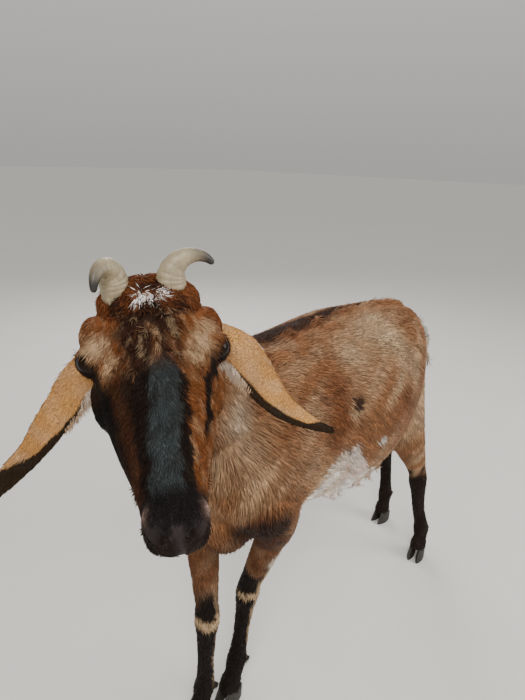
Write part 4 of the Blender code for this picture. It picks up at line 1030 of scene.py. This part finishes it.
class GOAT_OT_ears(bpy.types.Operator):
    """Hang the two ears, each a gutter of thin skin, with their own short hair"""
    bl_idname = "goat.ears"
    bl_label = "Ears"

    def execute(self, context):
        hues, sizes = context.scene.goat_colours, context.scene.goat_sizes
        for name, side in SIDES:
            grid, fields = ear_grid(side)
            lie = from_head(np.gradient(grid, axis=0).reshape(-1, 3)) - HEAD_AT
            fields, lie = (np.concatenate((rows, rows[:1], rows[-1:])) for rows in (fields, lie))
            body, faces = capped(from_head(grid), side > 0)
            ear = surface(f"ear_{name}_skin", body, faces, "Short haired hide")
            paint(ear, ear_colours(body, *fields.T, side, hues))
            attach(ear, "root")
            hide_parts(f"ear_{name}")
            dice = np.random.default_rng(SEED + side)
            many = sizes.ear_tufts // 2
            corners, shares = scattered(points_of(ear), triangles_of(ear), many, dice)
            roots = carried(points_of(ear), corners, shares)
            t, a, outer = carried(fields, corners, shares).T
            lies = unit(carried(lie, corners, shares)) + 0.16 * dice.normal(size=(many, 3))
            colours = ear_colours(roots, t, a, outer, side, hues) * dice.uniform(0.84, 1.14, (many, 1))
            inside = outer < 0
            lengths = sizes.ear_hair * dice.uniform(0.7, 1.3, many) * (1 + 0.9 * inside * ramp(t, 0.6, 0.2))
            tufts(f"ear_{name}_hair", "coat_tan", np.stack((0.5 * a + 0.5 * inside, t), axis=1), roots,
                  carried(normals_of(ear), corners, shares), lies, lengths,
                  dice.uniform(0.0008, 0.0013, many), dice.uniform(0.0003, 0.0009, many), colours)
            self.fringe(name, side, grid, hues, sizes.fringe_tufts, dice)
        return {"FINISHED"}

    def fringe(self, name, side, grid, hues, many, dice):
        """White hair that hangs from inside the ear past its lower rim, longest near the root."""
        t = 0.06 + 0.40 * dice.random(many) ** 1.2
        row = (t * (EAR_ROWS - 1)).astype(int)
        part = (t * (EAR_ROWS - 1) - row)[:, None]
        rim = EAR_COLUMNS // 2 if side > 0 else 0
        column = (rim + dice.integers(-3, 3, many)) % EAR_COLUMNS
        roots = grid[row, column] * (1 - part) + grid[row + 1, column] * part
        out = unit(roots - grid[row].mean(axis=1))
        ahead = unit(grid[row + 1, 0] - grid[row, 0])
        lies = 0.75 * out + np.array((0.15 * side, 0.10, -0.55)) + 0.12 * dice.normal(size=(many, 3))
        lies = lies + 0.5 * ahead
        share = ramp(t, 0.50, 0.20)
        colours = painted(hues, "ear", [("white", 0.22 + 0.40 * share)])
        flat = np.stack((0.25 + 0.5 * dice.random(many), t), axis=1)
        lengths = (0.008 + 0.011 * share) * dice.uniform(0.5, 1.2, many)
        tufts(f"ear_{name}_fringe", "coat_tan", flat, from_head(roots), np.cross(unit(lies), ahead) @ HEAD.T,
              lies @ HEAD.T, lengths, dice.uniform(0.0006, 0.0010, many), dice.uniform(-0.001, 0.001, many),
              colours * dice.uniform(0.8, 1.1, (many, 1)))


class Ground:
    """The skin as the ground that the coat stands on, with one run of random draws."""

    def __init__(self, skin):
        self.points, self.normals, self.faces = points_of(skin), normals_of(skin), triangles_of(skin)
        self.smooth = evened(skin, self.normals, EVEN_ROUNDS)
        self.dice = np.random.default_rng(SEED)

    def place(self, many, weight):
        """Roots of tufts, the way out of the skin at each, and its triangle's corners."""
        corners, shares = scattered(self.points, self.faces, many, self.dice, weight)
        out = unit(carried(self.normals + self.smooth, corners, shares))
        return carried(self.points, corners, shares), out, corners

    def bent(self, lies, out, corners):
        return bending(self.points, self.smooth, corners, tangents(lies, out))


SOLES, LEG_TOP = 0.028, 0.42            # tufts of the legs stand between these heights
TRUNK_PIECES, HEAD_PIECES = 5, 2
MOUTH = -0.0315                         # height of the slit between the lips
NOSTRIL = (0.0150, -0.1760, 0.002)


def haired(p):
    """1 on haired skin, 0 on the bare udder, for points of the goat's own frame."""
    return 1 - ramp(spot(p, *UDDER), 0.30, 0.5)


def trunk_weight(points):
    p = own(points)
    return (ahead_of_nape(points) < 0.004) * (0.25 + 0.75 * ramp(p[:, 2], 0.30, LEG_TOP)) * haired(p)


def leg_weight(points):
    p = own(points)
    return (p[:, 2] < LEG_TOP) * (p[:, 2] > SOLES) * haired(p)


def face_weight(points, eye_radius):
    """Denser on the poll and the muzzle, none on nose leather, lips' slit, nostrils and eyes."""
    q = local(points)
    x, y, z = q.T
    keep = (ahead_of_nape(points) >= -0.004) * (1 - (y < -0.172) * (np.abs(x) < 0.0035))
    keep = keep * (1 - (y < -0.115) * (np.abs(z - MOUTH) < 0.0030))
    for side in (1, -1):
        eye = (EYE_AT + EYE_LOOK * eye_radius) * (side, 1, 1)
        keep = keep * (np.linalg.norm(q - eye, axis=1) > 0.0135)
        hole = (q - np.array(NOSTRIL) * (side, 1, 1)) * (1, 0.8, 0.8)
        keep = keep * (np.linalg.norm(hole, axis=1) > 0.0085)
    return keep * (1 + 1.2 * spot(q, (0, 0.035, 0.045), 0.035) + 0.5 * (y < -0.15))


def trunk_coat(ground, hues, sizes):
    """Trunk, neck, upper legs and tail: long tufts in clumps, the belly's and the tail's hanging."""
    dice, many = ground.dice, sizes.trunk_tufts
    roots, out, corners = ground.place(many, trunk_weight)
    p = own(roots)
    x, y, z = p.T
    neck = ramp(y, -0.22, -0.34) * ramp(z, 0.50, 0.58)
    belly = ramp(z, 0.50, 0.44) * ramp(y, -0.24, -0.16) * ramp(y, 0.24, 0.14)
    shank = ramp(z, 0.46, 0.38) * np.maximum(ramp(y, -0.16, -0.22), ramp(y, 0.20, 0.26))
    tail = ramp(y, 0.330, 0.350) * ramp(z, 0.52, 0.58)
    crest = ramp(z, 0.715, 0.735) * ramp(np.abs(x + 0.010), 0.04, 0.02) * ramp(y, 0.2, 0.1)
    lengths = np.full(many, sizes.trunk_hair)
    for share, size in ((neck, sizes.neck_hair), (belly, sizes.belly_hair), (shank, sizes.leg_hair * 1.4),
                        (tail, sizes.tail_hair)):
        lengths = lengths * (1 - share) + size * share
    lengths *= dice.uniform(0.65, 1.25, many) * (1 - 0.4 * ramp(ahead_of_nape(roots), -0.12, -0.02))
    rises = sizes.trunk_coat * (0.55 + 0.5 * dice.random(many)) * (1 - 0.6 * shank)
    rises += (0.0012 * crest * dice.random(many) + 0.0008 * belly * dice.random(many) ** 2
              + 0.003 * tail * dice.random(many))
    widths = (0.0019 - 0.0005 * shank) * dice.uniform(0.75, 1.3, many)
    calm = (0.11 - 0.06 * np.maximum(belly, tail))[:, None]
    lies = body_lie(roots, out) + calm * dice.normal(size=(many, 3))
    lies[:, 2] -= 0.25 * belly
    bends = ground.bent(lies, out, corners) * (1 - 0.3 * belly)
    along = np.stack((x, 0.18 * (0.8 * y - 0.6 * z), 0.6 * y + 0.8 * z), axis=1)
    clump = 1 + 0.17 * noise(along, 0.008, 60) + 0.10 * noise(along, 0.022, 61)
    colours = flesh_colours(roots + out * 0.001, hues) * (clump * dice.uniform(0.82, 1.18, many))[:, None]
    coat_pieces("coat_trunk", "coat_brown", TRUNK_PIECES, p, None, roots, out, lies, lengths, widths, rises,
                colours, bends)


def leg_coat(ground, hues, sizes):
    """Legs below the trunk: short tufts, each leg unwrapped on its own quarter."""
    dice, many = ground.dice, sizes.leg_tufts
    roots, out, corners = ground.place(many, leg_weight)
    p = own(roots)
    x, y, _ = p.T
    lies = body_lie(roots, out) + 0.10 * dice.normal(size=(many, 3))
    colours = flesh_colours(roots + out * 0.0005, hues) * dice.uniform(0.75, 1.25, (many, 1))
    leg = np.where(y < 0, (y > -0.27) * 1, 2 + (x > 0))
    flat = np.zeros((many, 2))
    for number in range(4):
        mine = leg == number
        middle = np.array((*p[mine, :2].mean(axis=0), 0))
        flat[mine] = round_axis(p[mine], middle, (0, 1, 2), (0, LEG_TOP))
    flat[:, 0] = (flat[:, 0] + leg) / 4
    tufts("coat_legs", "coat_black", flat, roots, out, lies, sizes.leg_hair * dice.uniform(0.7, 1.3, many),
          dice.uniform(0.0009, 0.0015, many), sizes.leg_coat * dice.uniform(0.4, 1.0, many), colours,
          ground.bent(lies, out, corners))


def head_coat(ground, hues, sizes):
    """Head: very short tufts, longer and tossed between the horns, shorter on the muzzle."""
    dice, many = ground.dice, sizes.face_tufts
    roots, out, corners = ground.place(many, lambda points: face_weight(points, sizes.eye_radius))
    q = local(roots)
    y = q[:, 1]
    poll = np.clip(spot(q, (0, 0.040, 0.055), (0.055, 0.034, 0.034)) * 1.5, 0, 1)
    nape = ramp(y, 0.05, 0.085)
    lengths = sizes.face_hair * (1 - 0.45 * ramp(y, -0.12, -0.15))
    lengths = lengths + (sizes.poll_hair - lengths) * poll * dice.uniform(0.3, 1.0, many)
    lengths = (lengths + (0.6 * sizes.trunk_hair - lengths) * nape) * dice.uniform(0.7, 1.25, many)
    rises = sizes.face_coat * dice.uniform(0.5, 1.1, many)
    rises += poll * dice.uniform(0.0, 0.0028, many) + 0.0012 * nape
    tossed = sway(q, 0.010, 70) * poll[:, None]
    lies = face_lie(roots) + 0.14 * dice.normal(size=(many, 3)) + 0.28 * tossed
    bends = ground.bent(lies, out, corners)
    curls = poll * (0.30 * noise(q, 0.012, 73) + dice.uniform(-0.15, 0.15, many))
    share = ramp(ahead_of_nape(roots), *NAPE_BLEND)[:, None]
    colours = face_colours(roots + out * 0.0005, hues) * share + body_colours(roots, hues) * (1 - share)
    clump = 1 + 0.12 * noise(q, 0.006, 62) + 0.12 * poll * noise(q, 0.012, 63)
    colours = colours * (clump * dice.uniform(0.80, 1.22, many))[:, None]
    widths = (0.0010 + 0.0001 * poll + 0.0007 * nape) * dice.uniform(0.8, 1.3, many)
    coat_pieces("coat_head", "coat_face", HEAD_PIECES, q, (0, 0, -0.01), roots, out, lies, lengths, widths,
                rises, colours, bends, curls)


class GOAT_OT_coat(bpy.types.Operator):
    """Lay the coat of trunk, neck, legs and head as solid tufts over the skin"""
    bl_idname = "goat.coat"
    bl_label = "Coat"

    def execute(self, context):
        ground = Ground(bpy.data.objects["skin"])
        for lay in (trunk_coat, leg_coat, head_coat):
            lay(ground, context.scene.goat_colours, context.scene.goat_sizes)
        return {"FINISHED"}


EYE_ROWS, EYE_COLUMNS = 40, 56
CORNEA_FROM, CORNEA_RISE = 0.80, 0.0011     # share of the radius where it starts, and its bulge
LID_ROWS = 84
LID_LONG, LID_TALL = 0.0128, 0.0070         # half sizes of the opening
LID_PROFILE = np.array((                    # growth of the outline, and lift off the ball
    (0.98, -0.0006), (0.97, 0.0003), (1.00, 0.0007), (1.05, 0.0006), (1.10, 0.0000), (1.15, 0.0004),
    (1.22, -0.0002), (1.34, -0.0016), (1.50, -0.0034), (1.55, -0.0050), (1.30, -0.0030), (1.05, -0.0016)))


def eye_frame(side):
    """The head's directions at an eye: towards the nose, up, and out of the eye."""
    out = EYE_LOOK * (side, 1, 1)
    out = out / np.linalg.norm(out)
    nose = np.array((0, -1, -0.12))
    nose = nose - out * (out @ nose)
    nose /= np.linalg.norm(nose)
    return np.array((nose, np.cross(out, nose) * side, out))


class GOAT_OT_eyes(bpy.types.Operator):
    """Set the wet eyes and their lids into the head"""
    bl_idname = "goat.eyes"
    bl_label = "Eyes and lids"

    def execute(self, context):
        radius = context.scene.goat_sizes.eye_radius
        for name, side in SIDES:
            axes = eye_frame(side)
            centre = EYE_AT * (side, 1, 1)
            # rings from the middle of the cornea back
            polar = np.linspace(0.02, math.pi - 0.02, EYE_ROWS)[:, None]
            turn = circle(EYE_COLUMNS)[None]
            height = np.cos(polar) + 0 * turn
            ball = np.stack((np.sin(polar) * np.cos(turn), np.sin(polar) * np.sin(turn), height), axis=-1)
            bulge = CORNEA_RISE * np.clip((height - CORNEA_FROM) / (1 - CORNEA_FROM), 0, 1)
            grid = radius * ball @ axes + bulge[..., None] * axes[2]
            points, faces = capped(from_head(grid + centre), side > 0)
            eye = surface(f"eye_{name}_ball", points, faces, "Wet goat eye")
            unwrapped(eye, "Eye", (points - from_head(centre[None])) @ HEAD / radius @ axes[:2].T)
            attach(eye, "root")
            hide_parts(f"eye_{name}")
            self.lids(name, side, radius, centre, axes)
        return {"FINISHED"}

    def lids(self, name, side, radius, centre, axes):
        """Sheet round the opening on a shell over the ball: a profile of grow and lift, with a
        round rim, a groove and a fold, carried round a lens outline in the ball's angles."""
        grow, lift = LID_PROFILE.T[:, None]
        columns = len(LID_PROFILE)
        s = circle(LID_ROWS)[:, None]
        x = LID_LONG * np.cos(s)
        y = LID_TALL * np.sin(s) * (0.66 + 0.34 * np.abs(np.sin(s)))
        polar = np.arcsin(np.clip(np.hypot(x, y) / radius, 0, 1)) * grow
        around = np.arctan2(y, x)
        shell = radius + 0.0003 + lift * (1 + 0.5 * np.clip(np.sin(s), 0, 1))
        ring = np.stack((shell * np.sin(polar) * np.cos(around), shell * np.sin(polar) * np.sin(around),
                         shell * np.cos(polar)), axis=-1).reshape(-1, 3)
        faces = grid_faces(LID_ROWS + 1, columns) % (LID_ROWS * columns)
        lid = surface(f"lid_{name}", from_head(ring @ axes + centre), faces[:, ::-1] if side > 0 else faces,
                      "Lid leather")
        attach(lid, "root")


# Horns: where two numbers stand, the first is the left horn's

HORN_AT = np.array((0.0265, 0.050, 0.048))
HORN_BEND = (0.0232, 0.0175)
HORN_SWEEP = (142.0, 174.0)
HORN_RISE = (0.012, 0.015)
HORN_OUT = ((0.98, 0.06, 0.18), (-0.45, -0.75, 0.35))
HORN_SHIFT = (-0.0035, 0, 0)
HORN_SUNK = 0.020
HORN_BASE = 0.0136
HORN_TIP = 0.0026
HORN_RINGS = 13
HORN_ROWS, HORN_COLUMNS = 150, 48


class GOAT_OT_horns(bpy.types.Operator):
    """Grow the two hooked horns with their rings"""
    bl_idname = "goat.horns"
    bl_label = "Horns"

    def execute(self, context):
        for which, (name, side) in enumerate(SIDES):
            t = np.linspace(0, 1, HORN_ROWS)
            up = np.array((side * 0.05, 0.35, 0.93))
            up /= np.linalg.norm(up)
            out = np.array(HORN_OUT[which])
            out = out - up * (up @ out)
            out /= np.linalg.norm(out)
            # straight for the sunk foot and the rise, then round the curl
            bend, sweep = HORN_BEND[which], math.radians(HORN_SWEEP[which])
            foot = HORN_SUNK + HORN_RISE[which]
            whole = foot + bend * sweep
            far = t * whole
            curl = np.clip(far - foot, 0, None) / bend
            path = HORN_AT * (side, 1, 1) + HORN_SHIFT + (np.minimum(far, foot) - HORN_SUNK)[:, None] * up
            path = path + bend * (np.sin(curl)[:, None] * up + (1 - np.cos(curl))[:, None] * out)
            k = curl / sweep
            half = HORN_BASE + (HORN_TIP - HORN_BASE) * k ** 0.95
            half = half * (1 - 0.35 * ramp(k, 0.97, 1.0))
            grown = far / whole * HORN_RINGS + 0.35 * np.sin(far / whole * 17)
            ring = np.abs(np.sin(math.pi * grown)) ** 0.6
            half = half * (1 + 0.050 * (ring - 0.6) * ramp(k, 0.95, 0.6))
            first = unit(np.tile(np.cross(up, out), (HORN_ROWS, 1)))
            second = np.cross(unit(np.gradient(path, axis=0)), first)
            turn = circle(HORN_COLUMNS)
            wave = 1 + 0.015 * np.sin(5 * turn + 2)[None] * ring[:, None]
            ray = (np.cos(turn)[None, :, None] * first[:, None]
                   + 1.08 * np.sin(turn)[None, :, None] * second[:, None])
            grid = path[:, None] + (half[:, None] * wave)[..., None] * ray
            horn = surface(f"horn_{name}_keratin", *capped(from_head(grid), side > 0), "Ringed horn keratin")
            uv = np.stack((np.tile(turn / (2 * math.pi), HORN_ROWS), np.repeat(t, HORN_COLUMNS)), axis=1)
            unwrapped(horn, "Along", np.concatenate((uv, ((0.5, 0), (0.5, 1)))))
            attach(horn, "root")
            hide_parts(f"horn_{name}")
        return {"FINISHED"}


CLAW_LENGTH = 0.058
CLAW_HEIGHT = 0.036
CLAW_WIDTH = 0.0205
CLAW_ROWS, CLAW_COLUMNS = 30, 40
CLAW_LEVELS = (0, 0.10, 0.55, 1.0)
FEET = {"fore_left": (0.000, -0.279, 4), "fore_right": (-0.006, -0.362, 6),
        "hind_left": (0.096, 0.378, 8), "hind_right": (-0.060, 0.453, -6)}      # x, y, heading


class GOAT_OT_claws(bpy.types.Operator):
    """Shape the eight claws, with growth lines round their walls"""
    bl_idname = "goat.claws"
    bl_label = "Claws"

    def execute(self, context):
        level = np.linspace(0, 1, CLAW_ROWS)[:, None]
        turn = circle(CLAW_COLUMNS)[None]
        grow = np.interp(level, CLAW_LEVELS, (0.985, 1.0, 0.93, 0.84))
        grow = grow * (1 + 0.012 * np.sin(level * 34) * (level > 0.1))
        lean = np.interp(level, CLAW_LEVELS, (0.0, 0.02, 0.30, 0.52))
        for foot, (x0, y0, heading) in FEET.items():
            heading = math.radians(heading)
            for name, side in SIDES:
                x, y = np.cos(turn), np.sin(turn)
                x = x * (1 - 0.42 * np.clip(-y, 0, 1) ** 3)
                x = np.where(x * side < 0, 0.80 * x, x)
                px = x * CLAW_WIDTH * 0.5 * grow + side * CLAW_WIDTH * 0.56 * (1 - 0.06 * level)
                py = y * CLAW_LENGTH * 0.5 * (1 - 0.26 * level) + CLAW_LENGTH * 0.30 * lean
                pz = level * CLAW_HEIGHT * (1 - 0.30 * (y + 1) / 2)
                grid = np.stack((px * math.cos(heading) - py * math.sin(heading) + x0,
                                 px * math.sin(heading) + py * math.cos(heading) + y0,
                                 pz + 0 * px - SHIFT[2]), axis=-1) + SHIFT
                claw = surface(f"hoof_{foot}_{name}", *capped(grid), "Worn hoof horn")
                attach(claw, "root")
                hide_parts(f"claw_{foot}_{name}")
        return {"FINISHED"}


FLOOR_HALF, FLOOR_ROWS = 40, 80     # metres from the middle to an edge, and rows of the grid
FLOOR_HEIGHT = -0.0005
LIGHT_SIZE = 1.6
LIGHTS = (("key", (1.6, -2.2, 2.6), 95), ("fill", (2.4, 1.5, 1.7), 55), ("rim", (-2.2, 1.6, 2.2), 45))
LIGHTS_AIM = Vector((0.0, 0.0, 0.5))
CAMERA_FROM_HEAD = (0.389, -0.289, 0.191)
CAMERA_HEADING = math.radians(40.9)      # left of the goat's nose to tail line
CAMERA_PITCH = math.radians(20.2)
CAMERA_ROLL = math.radians(2.05)
FOCAL_PIXELS = 515.7
IMAGE_HIGH = 700
SENSOR = 36.0


class GOAT_OT_stage(bpy.types.Operator):
    """Set the floor, the lights and the camera of the photograph's view"""
    bl_idname = "goat.stage"
    bl_label = "Stage"

    def execute(self, context):
        x, y = np.meshgrid(*[np.linspace(-FLOOR_HALF, FLOOR_HALF, FLOOR_ROWS)] * 2)
        floor = surface("floor", np.stack((x, y, 0 * x + FLOOR_HEIGHT), axis=-1).reshape(-1, 3),
                        grid_faces(FLOOR_ROWS, FLOOR_ROWS, False), "Pale plaster")
        world = context.scene.world = bpy.data.worlds.new("Studio")
        world.use_nodes = True
        tree = world.node_tree
        place = node(tree, "TexCoord").outputs["Generated"]
        height = spread(tree, node(tree, "SeparateXYZ", Vector=place).outputs[2], 0.0, 0.5)
        sky = blend(tree, height, (0.60, 0.585, 0.56), (1.0, 0.985, 0.96))
        tree.links.new(sky, tree.nodes["Background"].inputs[0])
        tree.nodes["Background"].inputs[1].default_value = 0.72
        for name, place, power in LIGHTS:
            light = bpy.data.lights.new(name, "AREA")
            light.size = LIGHT_SIZE
            light.energy = power
            lamp = linked(name, light)
            lamp.location = place
            lamp.rotation_euler = (LIGHTS_AIM - Vector(place)).to_track_quat("-Z", "Y").to_euler()
        camera = bpy.data.cameras.new("photograph")
        camera.sensor_fit = "VERTICAL"
        camera.sensor_height = camera.sensor_width = SENSOR
        camera.lens = FOCAL_PIXELS * SENSOR / IMAGE_HIGH
        eye = context.scene.camera = linked("photograph", camera)
        level = Vector((-math.sin(CAMERA_HEADING), math.cos(CAMERA_HEADING), 0))
        right = Vector((math.cos(CAMERA_HEADING), math.sin(CAMERA_HEADING), 0))
        look = level * math.cos(CAMERA_PITCH) - Vector((0, 0, 1)) * math.sin(CAMERA_PITCH)
        down = look.cross(right)
        side = right * math.cos(CAMERA_ROLL) - down * math.sin(CAMERA_ROLL)
        below = right * math.sin(CAMERA_ROLL) + down * math.cos(CAMERA_ROLL)
        turn = Matrix((side, -below, -look)).transposed().to_4x4()
        eye.matrix_world = Matrix.Translation(Vector(HEAD_AT) + Vector(CAMERA_FROM_HEAD)) @ turn
        return {"FINISHED"}


class GOAT_PT_panel(bpy.types.Panel):
    """Lists the goat's pieces, colours and sizes"""
    bl_idname = "GOAT_PT_panel"
    bl_label = "Nanny goat"
    bl_space_type = "VIEW_3D"
    bl_region_type = "UI"
    bl_category = "Goat"

    def draw(self, context):
        for step in STEPS:
            self.layout.operator(step.bl_idname)
        for group in (context.scene.goat_colours, context.scene.goat_sizes):
            box = self.layout.box()
            for name in group.__annotations__:
                box.prop(group, name)


STEPS = (GOAT_OT_materials, GOAT_OT_skin, GOAT_OT_ears, GOAT_OT_coat, GOAT_OT_eyes, GOAT_OT_horns,
         GOAT_OT_claws, GOAT_OT_stage)
CLASSES = (GoatColours, GoatSizes, *STEPS, GOAT_PT_panel)


def register():
    for kind in CLASSES:
        bpy.utils.register_class(kind)
    bpy.types.Scene.goat_colours = PointerProperty(type=GoatColours)
    bpy.types.Scene.goat_sizes = PointerProperty(type=GoatSizes)


def unregister():
    del bpy.types.Scene.goat_sizes
    del bpy.types.Scene.goat_colours
    for kind in reversed(CLASSES):
        bpy.utils.unregister_class(kind)


def main():
    """Builds every piece in order."""
    register()
    for step in STEPS:
        group, name = step.bl_idname.split(".")
        getattr(getattr(bpy.ops, group), name)()


if __name__ == "__main__":
    main()
